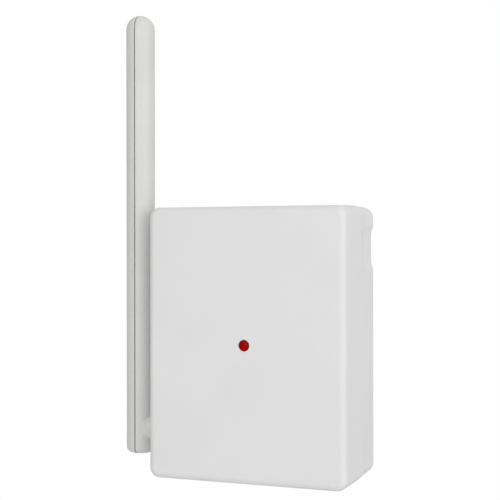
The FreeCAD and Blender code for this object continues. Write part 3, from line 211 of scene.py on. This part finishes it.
def turned(points, centre, axis="Z", steps=64):
    """A turned body from points of radius and height, its axis through the centre."""
    bm = bmesh.new()
    corners = [bm.verts.new((radius, 0, height)) for radius, height in points]
    edges = [bm.edges.new(pair) for pair in zip(corners, corners[1:])]
    spun = {"cent": (0, 0, 0), "axis": (0, 0, 1), "angle": 2 * pi, "steps": steps, "use_merge": True}
    bmesh.ops.spin(bm, geom=corners + edges, **spun)
    bmesh.ops.remove_doubles(bm, verts=bm.verts, dist=1e-4)
    bmesh.ops.recalc_face_normals(bm, faces=bm.faces)
    turns = {"X": Matrix.Rotation(pi / 2, 3, "Y"), "Y": Matrix.Rotation(-pi / 2, 3, "X")}
    bmesh.ops.rotate(bm, matrix=turns.get(axis, Matrix.Identity(3)), verts=bm.verts)
    bmesh.ops.translate(bm, vec=centre, verts=bm.verts)
    return bm


def rod(radius, start, end, centre, axis="Z", steps=48):
    """A round rod from start to end along its axis."""
    return turned([(0, start), (radius, start), (radius, end), (0, end)], centre, axis, steps)


def shaped(body, others, operation="DIFFERENCE"):
    """The body with the others cut out of it or joined to it, as a mould's cores and pockets do."""
    holders = []
    for bm in [body, *others]:
        bmesh.ops.recalc_face_normals(bm, faces=bm.faces)
        mesh = bpy.data.meshes.new("mould")
        bm.to_mesh(mesh)
        bm.free()
        holders.append(bpy.data.objects.new("mould", mesh))
        studio.collection.objects.link(holders[-1])
    for other in holders[1:]:
        step = holders[0].modifiers.new("mould", "BOOLEAN")
        step.operation, step.solver, step.object = operation, "EXACT", other
    made = bpy.data.meshes.new_from_object(holders[0].evaluated_get(bpy.context.evaluated_depsgraph_get()))
    result = bmesh.new()
    result.from_mesh(made)
    for mesh in [made, *(holder.data for holder in holders)]:
        bpy.data.meshes.remove(mesh)
    return result


inside = block((wall - half_width, half_width - wall), (front + wall, 0), (bottom + wall, top - wall))
rounded(inside, 0.5, along("Y"), 3)
tray = shaped(tray, [inside])
screw_places = [(x, z) for x in (-20.5, 20.5) for z in (-43.85, 18.6)]
bosses = [rod(2.8, -29.0, -12.5, (x, 0, z), "Y") for x, z in screw_places]
hub_axis, lens_axis, button_axis = (0, -21.9, -37.5), (0, 0, -12.225), (-12, -22.6, 0)
bearing = rod(4.35, -27.5, -25.6, hub_axis, "X")
tray = shaped(tray, [*bosses, bearing], "UNION")

# The round openings have a small lead-in at the wall's outer side.
socket_gap_x, socket_gap_z = (-13.1, 13.1), (-53, -47)
lens_mouth = [(0, -31), (1.85, -31), (1.85, -30.72), (1.62, -30.58), (1.58, -30.4), (1.58, -28), (0, -28)]
button_mouth = [(0, 23), (3.0, 23), (3.0, 25.95), (3.06, 26.12), (3.3, 26.3), (3.3, 28), (0, 28)]
hub_mouth = [(0, -31), (3.1, -31), (3.1, -29.05), (2.9, -28.8), (2.85, -28.6), (2.85, -20), (0, -20)]
openings = [
    turned(lens_mouth, lens_axis, "Y"),
    turned(button_mouth, button_axis),
    turned(hub_mouth, hub_axis, "X"),
    block(socket_gap_x, (-27.1, -5), socket_gap_z),
]
pilots = [rod(1.35, -21.0, -10.0, (x, 0, z), "Y", 24) for x, z in screw_places]
tray = shaped(tray, [*openings, *pilots])


def group_of(name, inputs, outputs):
    """A shader node group with its sockets, and its two end nodes."""
    group = bpy.data.node_groups.new(name, "ShaderNodeTree")
    for word, value in inputs.items():
        kind = "NodeSocketColor" if isinstance(value, tuple) else "NodeSocketFloat"
        group.interface.new_socket(word, in_out="INPUT", socket_type=kind).default_value = value
    for word in outputs:
        kind = "NodeSocketColor" if word == "Color" else "NodeSocketFloat"
        group.interface.new_socket(word, in_out="OUTPUT", socket_type=kind)
    return group, group.nodes.new("NodeGroupInput"), group.nodes.new("NodeGroupOutput")


def mixed(tree, share, first, second):
    """A colour between two others. A Mix node's colours come after its share and five other inputs."""
    return wire(tree, "Mix", {"data_type": "RGBA"}, (share, *[None] * 5, first, second)).outputs[2]


def ranged(tree, value, **limits):
    """A value brought from one range to another."""
    return wire(tree, "MapRange", Value=value, **limits).outputs[0]


def added(tree, value, factor, base):
    """A base with a share of a value on top."""
    return wire(tree, "Math", {"operation": "MULTIPLY_ADD"}, (value, factor, base)).outputs[0]


plastic_values = {"Plastic": white, "Shade": white, "Grain": 9000.0, "Satin": 0.4, "Sheen": 0.5}
moulding, given, put = group_of("moulded_plastic", plastic_values, ("Color", "Roughness", "Height"))
spot = wire(moulding, "TexCoord").outputs["Object"]
drift = wire(moulding, "TexNoise", Vector=spot, Scale=55.0, Detail=3.0).outputs["Fac"]
flow = ranged(moulding, drift, From_Min=0.3, From_Max=0.7)
speck = wire(moulding, "TexNoise", Vector=spot, Scale=2600.0, Detail=2.0).outputs["Fac"]
share = added(moulding, ranged(moulding, speck, From_Min=0.35, From_Max=0.65), 0.25, flow)
blend = mixed(moulding, share, given.outputs["Plastic"], given.outputs["Shade"])
gloss = ranged(moulding, flow, To_Min=given.outputs["Satin"], To_Max=given.outputs["Sheen"])
fineness = given.outputs["Grain"]
grain = wire(moulding, "TexNoise", Vector=spot, Scale=fineness, Detail=2.0, Roughness=0.6).outputs["Fac"]
for word, source in (("Color", blend), ("Roughness", gloss), ("Height", grain)):
    moulding.links.new(source, put.inputs[word])


def material_of(name, group, relief, values, shader):
    """A material: a Principled shader with plain values, fed by one effect group and its surface relief."""
    material = bpy.data.materials.new(name)
    material.use_nodes = True
    tree = material.node_tree
    principled = tree.nodes["Principled BSDF"]
    for word, value in shader.items():
        principled.inputs[word.replace("_", " ")].default_value = value
    effect = tree.nodes.new("ShaderNodeGroup")
    effect.node_tree = group
    for word, value in values.items():
        effect.inputs[word].default_value = value
    tree.links.new(effect.outputs["Color"], principled.inputs["Base Color"])
    tree.links.new(effect.outputs["Roughness"], principled.inputs["Roughness"])
    bump = wire(tree, "Bump", Strength=1.0, Distance=relief, Height=effect.outputs["Height"])
    tree.links.new(bump.outputs[0], principled.inputs["Normal"])
    return material


def colour(red, green, blue):
    """A colour as it looks on a screen, 0 to 255, as the shader wants it."""
    return tuple((part / 255) ** 2.2 for part in (red, green, blue)) + (1,)


def plastic(name, main, shade, relief, grain, satin, sheen, **shader):
    """A moulded material: two close colours, relief in metres, the grain's scale, two ends of roughness."""
    values = {"Plastic": colour(*main), "Shade": colour(*shade), "Grain": grain}
    values.update(Satin=satin, Sheen=sheen)
    return material_of(name, moulding, relief, values, shader)


case_plastic = plastic(
    "off_white_case_plastic", (222, 222, 222), (219, 219, 219),
    relief=1.2e-5, grain=7000, satin=0.38, sheen=0.46,
)


def piece_of(bm, name, material, body, slot, *nodes):
    """Turns a modelled body into a finished piece in metres that stands for its CAD nodes."""
    bmesh.ops.remove_doubles(bm, verts=bm.verts, dist=1e-4)
    bmesh.ops.recalc_face_normals(bm, faces=bm.faces)
    bmesh.ops.scale(bm, vec=(0.001, 0.001, 0.001), verts=bm.verts)
    mesh = bpy.data.meshes.new(name)
    bm.to_mesh(mesh)
    bm.free()
    crease = radians(32)
    mesh.shade_smooth()
    mesh.set_sharp_from_angle(angle=crease)
    mesh.materials.append(material)
    piece = bpy.data.objects.new(name, mesh)
    studio.collection.objects.link(piece)
    piece.modifiers.new("flats_stay_flat", "WEIGHTED_NORMAL").keep_sharp = True
    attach(piece, body)
    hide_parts(*nodes)


piece_of(tray, "front_cover_shell", case_plastic, "case", "case", "front_cover")

# Back cover
# A shallow lid of the same plastic, let into the front cover by a lap. Screw posts hold the four heads below
# the surface; the plug's blades and pin come out through close openings, over a bare recess for a label.

lid_front, lid_grow, back_radius = parting + 0.3, draft - 0.1, 0.8
lid_inside_x, lid_inside_z = (-25.45, 25.45), (-47.1, 22.65)
blade_x, pin_axis = 6.35, (0, 0, -11.9)
lid_x = half_width + lid_grow
lid = block((-lid_x, lid_x), (lid_front, 0), (bottom - lid_grow, top + lid_grow))
rounded(lid, outline_radius + lid_grow, along("Y"))
rounded(lid, back_radius, level("Y", 0), 5)
press_hollows(lid, (-11.0, -9.0, -7.0, -5.0, -2.6))
rounded(lid, rim_ease, level("Y", lid_front), 2)
lid = shaped(lid, [block(lid_inside_x, (-20, -2.4), lid_inside_z)])
lap_inside = block(lid_inside_x, (-20, 0), lid_inside_z)
lap = shaped(block((-26.45, 26.45), (-14.7, -8), (-48.1, 23.65)), [lap_inside])
posts = [rod(3.85, -12.4, -1.2, (x, 0, z), "Y") for x, z in screw_places]
lid = shaped(lid, [lap, *posts], "UNION")
head_recess = [(0, -5), (2.55, -5), (2.55, -0.2), (2.62, -0.08), (2.8, 0.02), (2.8, 1), (0, 1)]
recesses = [turned(head_recess, (x, 0, z), "Y") for x, z in screw_places]
passages = [rod(1.6, -13, -4, (x, 0, z), "Y", 32) for x, z in screw_places]
slots = [block((x - 0.85, x + 0.85), (-4, 1), (-3.275, 3.275)) for x in (-blade_x, blade_x)]
slots = [rounded(slot, 0.15, along("Y"), 3) for slot in slots]
pin_opening = turned([(0, -4), (2.75, -4), (2.75, -0.15), (2.95, 0.02), (2.95, 1), (0, 1)], pin_axis, "Y")
label_recess = rounded(block((-17, 17), (-0.3, 1), (-36.45, -19.45)), 1.4, along("Y"), 6)
socket_gap = block(socket_gap_x, (-20, -3.9), socket_gap_z)
flange_seat = block((-14.4, 14.4), (-20, -2.7), (-48.25, -43.85))
lid = shaped(lid, [*recesses, *passages, *slots, pin_opening, label_recess, socket_gap, flange_seat])
piece_of(lid, "back_cover_shell", case_plastic, "case", "case", "back_cover")

# Case screws
# Four thread-forming steel screws, zinc plated, with domed heads and cross recesses. They come in from the
# back through the lid's posts and cut their own threads in the front cover's bosses.

metal_values = {"Metal": white, "Dull": white, "Along": 200.0, "Across": 9000.0, "Bright": 0.2, "Worn": 0.4}
working, given, put = group_of("worked_metal", metal_values, ("Color", "Roughness", "Height"))
spot = wire(working, "TexCoord").outputs["Object"]
length, breadth = given.outputs["Along"], given.outputs["Across"]
scales = wire(working, "CombineXYZ", feeds=(breadth, length, breadth)).outputs[0]
drawn = wire(working, "VectorMath", {"operation": "MULTIPLY"}, (spot, scales)).outputs[0]
lines = wire(working, "TexNoise", Vector=drawn, Scale=1.0, Detail=2.0).outputs["Fac"]
tarnish = wire(working, "TexNoise", Vector=spot, Scale=260.0, Detail=4.0).outputs["Fac"]
streak = added(working, lines, 0.3, ranged(working, tarnish, From_Min=0.38, From_Max=0.72))
blend = mixed(working, streak, given.outputs["Metal"], given.outputs["Dull"])
gloss = ranged(working, streak, To_Min=given.outputs["Bright"], To_Max=given.outputs["Worn"])
for word, source in (("Color", blend), ("Roughness", gloss), ("Height", lines)):
    working.links.new(source, put.inputs[word])


def metal(name, main, dull, relief, lengthwise, crosswise=9000, bright=0.2, worn=0.4):
    """A worked metal: two tones, relief in metres, the scales of its lines, and two ends of roughness."""
    values = {"Metal": colour(*main), "Dull": colour(*dull), "Along": lengthwise, "Across": crosswise}
    values.update(Bright=bright, Worn=worn)
    return material_of(name, working, relief, values, {"Metallic": 1.0})


zinc = metal(
    "zinc_plated_steel", (216, 217, 219), (188, 190, 194),
    relief=4e-6, lengthwise=2500, crosswise=2500, bright=0.24,
)


def threads(outer, core, start, end, pitch):
    """The profile of a thread between two places of the axis, from the lower one to the upper one."""
    count = int((end - start) / pitch)
    ridges = [(start + pitch * (step + 0.5), start + pitch * (step + 1)) for step in range(count)]
    return [point for crest, root in ridges for point in ((outer, crest), (core, root))]


head_top = -3.3


def cross_recess(x, z, turn):
    """The cross-shaped pocket of a screw head: two crossed slots that narrow towards their floor."""
    cross = []
    for quarter in (0, 90):
        slot = block((-1.45, 1.45), (-0.95, 0.3), (-0.4, 0.4))
        for corner in slot.verts:
            if corner.co.y < 0:
                corner.co.x *= 0.5
                corner.co.z *= 0.65
        bmesh.ops.rotate(slot, matrix=Matrix.Rotation(radians(quarter + turn), 3, "Y"), verts=slot.verts)
        bmesh.ops.translate(slot, vec=(x, head_top, z), verts=slot.verts)
        cross.append(slot)
    return cross


thread = threads(outer=1.3, core=1.05, start=-18.5, end=-7.5, pitch=1.0)
shank = [(0, -20), (0.3, -20), (1.05, -18.5), *thread, (1.05, -5), (2.24, -5)]
dome = [(2.3, -4.94), (2.3, -4.45), (2.22, -4.1), (2.0, -3.78), (1.6, -3.52), (1.1, -3.37), (0.55, -3.31)]
screws = [turned([*shank, *dome, (0, head_top)], (x, 0, z), "Y", 40) for x, z in screw_places]
screws = shaped(screws[0], screws[1:], "UNION")
stopped_at = zip(screw_places, (20, 65, 5, 42))
screws = shaped(screws, [slot for (x, z), turn in stopped_at for slot in cross_recess(x, z, turn)])
piece_of(screws, "case_screws_turned", zinc, "case", "screw", "case_screws")

# Plug
# Two blades stamped from brass strip and a turned round ground pin, all nickel plated. Shoulders hold them
# between the back cover and a black carrier plate, and a brass strap joins the pin to the socket's sleeve.

nickel = metal(
    "nickel_plated_brass", (214, 211, 204), (196, 192, 184),
    relief=3e-6, lengthwise=150, worn=0.28,
)
blade_end, blade_half, blade_thickness, hole_place = 17.5, 3.175, 1.5, 11.6


def outline_edge(a, b):
    """Picks a blade's edges round its outline, in front of the carrier plate."""
    return min(a.y, b.y) > -9 and max(abs(a.z), abs(b.z)) > 3 and abs(a.x - b.x) < 1e-4


def blade(name, x):
    """A flat blade with eased edges, a tapered tip with a locking hole, and its shoulder and tail inside."""
    outline = [(blade_end, 1.775), (16.1, blade_half), (-8.0, blade_half), (-8.0, 5.175), (-9.5, 5.175)]
    outline += [(-9.5, 1.5), (-14.0, 1.5)]
    outline += [(y, -z) for y, z in reversed(outline)]
    bm = bmesh.new()
    corners = [bm.verts.new((x - blade_thickness / 2, y, z)) for y, z in outline]
    sheet = bmesh.ops.extrude_face_region(bm, geom=[bm.faces.new(corners)])
    raised = [part for part in sheet["geom"] if isinstance(part, bmesh.types.BMVert)]
    bmesh.ops.translate(bm, vec=(blade_thickness, 0, 0), verts=raised)
    bmesh.ops.recalc_face_normals(bm, faces=bm.faces)
    rounded(bm, 0.35, level("Y", blade_end), 4)
    rounded(bm, 0.18, outline_edge, 3)
    hole = [(0, -2), (1.75, -2), (1.75, -0.8), (1.6, -0.65), (1.6, 0.65), (1.75, 0.8), (1.75, 2), (0, 2)]
    bm = shaped(bm, [turned(hole, (x, hole_place, 0), "X", 40)])
    piece_of(bm, name + "_stamping", nickel, "case", "blade", name)


blade("line_blade", blade_x)
blade("neutral_blade", -blade_x)
collar = [(0, -10.6), (1.2, -10.6), (1.2, -9.5), (3.2, -9.5), (3.2, -8.0), (2.65, -8.0), (2.65, -0.12)]
point = [(2.53, 0), (2.4, 0), (2.4, 18.3), (2.22, 19.2), (1.7, 20.0), (0.95, 20.5), (0, 20.7)]
pin = turned(collar + point, pin_axis, "Y")
piece_of(pin, "ground_pin_turning", nickel, "case", "blade", "ground_pin")

black_plastic = plastic(
    "black_glass_filled_plastic", (34, 34, 36), (46, 46, 48),
    relief=2e-5, grain=3500, satin=0.45, sheen=0.6,
)
brass = metal(
    "bright_spring_brass", (222, 190, 120), (176, 138, 74),
    relief=3e-6, lengthwise=300, worn=0.38,
)


def dress(material, *nodes):
    """Gives a finish to CAD nodes that no piece stands for."""
    for node in nodes:
        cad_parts[node].material_slots[0].material = material


dress(black_plastic, "blade_carrier")
dress(brass, "ground_strap")

# Lamp socket
# A block of white heat-resistant plastic in the underside. Its face has two slots of different length and a
# round ground hole; the brass contacts hang in the cavities behind them, under a black retainer plate.

socket_plastic = plastic(
    "white_socket_plastic", (220, 217, 209), (213, 210, 201),
    relief=1e-5, grain=6000, satin=0.3, sheen=0.4,
)
slot_middle, sleeve_axis = -10.3, (0, -22.2, 0)
neck = block((-13, 13), (-27, -4), (bottom, -27))
rounded(neck, 0.5, along("Z"), 4)
rounded(neck, 0.4, level("Z", bottom), 4)
flange = block((-14.2, 14.2), (-28.2, -2.8), (-48.15, -46.25))
neck = shaped(neck, [flange], "UNION")
cavities = [block((x - 1.9, x + 1.9), (-13.8, -6.8), (-47.95, -20)) for x in (-blade_x, blade_x)]
cavities.append(rod(3.3, -47.95, -20, sleeve_axis))


def slot_in_face(x, length):
    """A slot with eased corners and a small lead-in round its mouth."""
    lead_in, flare = 0.3, 0.55
    ends = (slot_middle - length / 2, slot_middle + length / 2)
    slot = rounded(block((x - 1, x + 1), ends, (bottom - 1, -40)), 0.3, along("Z"), 3)
    whole = slot.faces[:] + slot.edges[:] + slot.verts[:]
    bmesh.ops.bisect_plane(slot, geom=whole, plane_co=(0, 0, bottom + lead_in), plane_no=(0, 0, 1))
    for corner in slot.verts:
        if corner.co.z < bottom:
            corner.co.x += flare * (1 if corner.co.x > x else -1)
            corner.co.y += flare * (1 if corner.co.y > slot_middle else -1)
    return slot


sleeve_mouth = [(0, -52), (3.1, -52), (3.1, -50.47), (2.7, -50.05), (2.7, -40), (0, -40)]
openings = [slot_in_face(-blade_x, 7.0), slot_in_face(blade_x, 8.4), turned(sleeve_mouth, sleeve_axis)]
neck = shaped(neck, [*cavities, *openings])
piece_of(neck, "socket_block_moulding", socket_plastic, "case", "socket", "socket_block")
dress(brass, "socket_line_contact", "socket_neutral_contact", "socket_ground_contact")
dress(black_plastic, "socket_retainer")

# Power board
# A green glass-fibre board with its copper tracks under the solder mask. It carries the switching device on
# a finned heat sink, the interference choke, fuse, varistor, capacitors and the controller chip.

solder_mask = plastic(
    "green_solder_mask", (22, 92, 52), (34, 116, 66),
    relief=1e-5, grain=1500, satin=0.25, sheen=0.4,
)
dress(solder_mask, "main_board")
dress(zinc, "board_screws", "heat_sink_screw")
aluminium = metal(
    "extruded_aluminium", (196, 198, 200), (160, 162, 166),
    relief=5e-6, lengthwise=120, crosswise=5000, bright=0.3,
)
dress(aluminium, "heat_sink", "smoothing_capacitor")
package = plastic(
    "black_epoxy_package", (28, 28, 30), (36, 36, 38),
    relief=1.2e-5, grain=5000, satin=0.5, sheen=0.65,
)
dress(package, "triac", "controller_chip")
iron_powder = plastic(
    "coated_iron_powder", (206, 176, 62), (190, 158, 50),
    relief=2e-5, grain=2500, satin=0.35, sheen=0.55,
)
dress(iron_powder, "choke_core")
enamel = metal(
    "enamelled_copper", (190, 104, 58), (150, 70, 36),
    relief=3e-6, lengthwise=900, crosswise=900,
)
dress(enamel, "choke_winding")
fuse_glass = plastic(
    "fuse_glass", (226, 232, 230), (214, 222, 220),
    relief=2e-6, grain=900, satin=0.05, sheen=0.12, IOR=1.5,
)
dress(fuse_glass, "fuse")
dress(brass, "fuse_clips")
lacquer = plastic(
    "blue_varistor_lacquer", (28, 62, 128), (40, 78, 146),
    relief=1.5e-5, grain=1800, satin=0.25, sheen=0.4,
)
dress(lacquer, "varistor")
film_box = plastic(
    "yellow_film_capacitor", (222, 180, 60), (210, 166, 48),
    relief=1e-5, grain=4000, satin=0.35, sheen=0.5,
)
dress(film_box, "film_capacitor", "dropper_capacitor")

# Radio board
# A thin second board on nylon spacers behind the front. It has the red lamp that shines through the lens, the
# push switch under the button, and the jack of the aerial's lead.

nylon = plastic(
    "natural_nylon", (226, 222, 206), (216, 211, 194),
    relief=1e-5, grain=3000, satin=0.35, sheen=0.5,
)
dress(solder_mask, "radio_board")
dress(nylon, "board_spacers", "switch_plunger")
dress(package, "board_header", "push_switch")
dress(aluminium, "aerial_jack")

lamp_epoxy = plastic(
    "red_lamp_epoxy", (160, 8, 12), (140, 4, 8),
    relief=2e-6, grain=800, satin=0.08, sheen=0.15,
)
lamp_rim, lamp_body, dome_root, dome_height = 1.85, 1.45, -26.6, 1.0
quarter = [radians(turn) for turn in range(0, 90, 9)]
lamp_dome = [(lamp_body * cos(turn), dome_root - dome_height * sin(turn)) for turn in quarter]
lamp_foot = [(0, -25.4), (lamp_rim, -25.4), (lamp_rim, -25.8), (lamp_body, -25.8)]
lamp = turned([*lamp_foot, *lamp_dome, (0, dome_root - dome_height)], lens_axis, "Y", 48)
piece_of(lamp, "status_led_moulding", lamp_epoxy, "case", "led", "status_led")

# Status lens
# A small stepped rod of dark red tinted plastic, pressed into the front cover from behind until its collar
# stops it. Its end is a shallow dome a little below the face.

red_lens = plastic(
    "dark_red_lens", (160, 0, 3), (140, 0, 2),
    relief=2e-6, grain=700, satin=0.12, sheen=0.2, Specular_IOR_Level=0.05,
)
lens_collar = [(0, -27.8), (2.3, -27.8), (2.4, -27.9), (2.4, -28.4), (1.5, -28.4), (1.5, -30.25)]
lens_dome = [(1.47, -30.33), (1.38, -30.38), (1.1, -30.49), (0.75, -30.58), (0.38, -30.635), (0, -30.65)]
lens = turned(lens_collar + lens_dome, lens_axis, "Y")
piece_of(lens, "status_lens_moulding", red_lens, "case", "lens", "status_lens")

# Button
# A small round cap in the top, moulded in a slightly greyer plastic. A collar under the wall keeps it in, and
# it rests on the switch's plunger.

button_plastic = plastic(
    "light_grey_button_plastic", (214, 212, 206), (208, 206, 200),
    relief=1e-5, grain=7000, satin=0.32, sheen=0.42,
)
stem = [(0, 13.6), (2.0, 13.6), (2.2, 13.8), (2.2, 22.6), (3.8, 22.6), (3.8, 23.5), (2.8, 23.5), (2.8, 25.15)]
dish = [(2.76, 25.35), (2.65, 25.52), (2.5, 25.63), (2.3, 25.7), (1.6, 25.66), (0.8, 25.6), (0, 25.58)]
cap = turned(stem + dish, button_axis)
piece_of(cap, "button_cap_moulding", button_plastic, "button", "button", "button_cap")

# Aerial
# A round rod of two half shells in the case's kind of plastic, snapped together along a fine groove over a
# steel whip wire. The inner one carries the hollow hub and shaft on which the rod turns, held by a washer and
# a clip, and a thin lead comes out of it.

aerial_plastic = plastic(
    "off_white_aerial_plastic", (211, 211, 209), (207, 207, 205),
    relief=1.2e-5, grain=7000, satin=0.36, sheen=0.44,
)
rod_axis, rod_radius, rod_foot, rod_top = (-35.2, -21.9, 0), 4.15, -45, 82.4
foot_radius, bore_radius, bore_foot, groove_width, groove_depth = 1.8, 2.9, -43.75, 0.36, 0.9
dome_centre = (0, rod_top - rod_radius)


def arc(centre, radius, start, end, steps=12):
    """Points of radius and height on an arc of a turned profile, from one angle to another."""
    turns = [radians(start + (end - start) * step / steps) for step in range(steps + 1)]
    return [(centre[0] + radius * cos(turn), centre[1] + radius * sin(turn)) for turn in turns]


def rod_form(inset):
    """The rod's whole outline drawn in by an inset: a flat foot with a rounded edge, and a domed top."""
    foot = arc((rod_radius - foot_radius, rod_foot + foot_radius), foot_radius - inset, -90, 0)
    dome = arc(dome_centre, rod_radius - inset, 0, 90, 16)[:-1]
    return turned([(0, rod_foot + inset), *foot, *dome, (0, rod_top - inset)], rod_axis, steps=80)


def half_shell(side):
    """One half of the hollow rod, with its share of the groove that runs round the seam."""
    bore_dome = arc(dome_centre, bore_radius, 0, 90)[:-1]
    bore_top = dome_centre[1] + bore_radius
    bore = turned([(0, bore_foot), (bore_radius, bore_foot), *bore_dome, (0, bore_top)], rod_axis, steps=80)
    middle, past_rod = rod_axis[0], ((-30, -14), (-50, 90))
    seam = block((middle - groove_width / 2, middle + groove_width / 2), *past_rod)
    groove = shaped(seam, [rod_form(groove_depth)])
    other_half = block(sorted((middle, middle - side * 10)), *past_rod)
    return shaped(rod_form(0), [bore, other_half, groove])


piece_of(half_shell(-1), "aerial_outer_moulding", aerial_plastic, "aerial", "aerial", "aerial_outer_shell")
hub_profile = [(0, -34.25), (3.9, -34.25), (3.9, -29.9), (3.82, -29.72), (3.65, -29.65), (2.8, -29.65)]
clip_groove = [(2.8, -24.95), (2.15, -24.95), (2.15, -24.05), (2.8, -24.05)]
shaft_end = [(2.8, -23.8), (2.6, -23.6), (0, -23.6)]
inner = shaped(half_shell(1), [turned(hub_profile + clip_groove + shaft_end, hub_axis, "X")], "UNION")
inner = shaped(inner, [rod(1.0, -36, -20, hub_axis, "X", 32)])
piece_of(inner, "aerial_inner_moulding", aerial_plastic, "aerial", "aerial", "aerial_inner_shell")
spring_steel = metal(
    "drawn_spring_steel", (188, 190, 194), (150, 152, 156),
    relief=2e-6, lengthwise=8000, crosswise=8000, bright=0.25,
)
dress(spring_steel, "aerial_whip")
sheath = plastic(
    "black_lead_sheath", (26, 26, 28), (34, 34, 36),
    relief=1e-5, grain=2500, satin=0.4, sheen=0.55,
)
dress(sheath, "aerial_lead")
dress(zinc, "friction_washer", "retaining_clip")
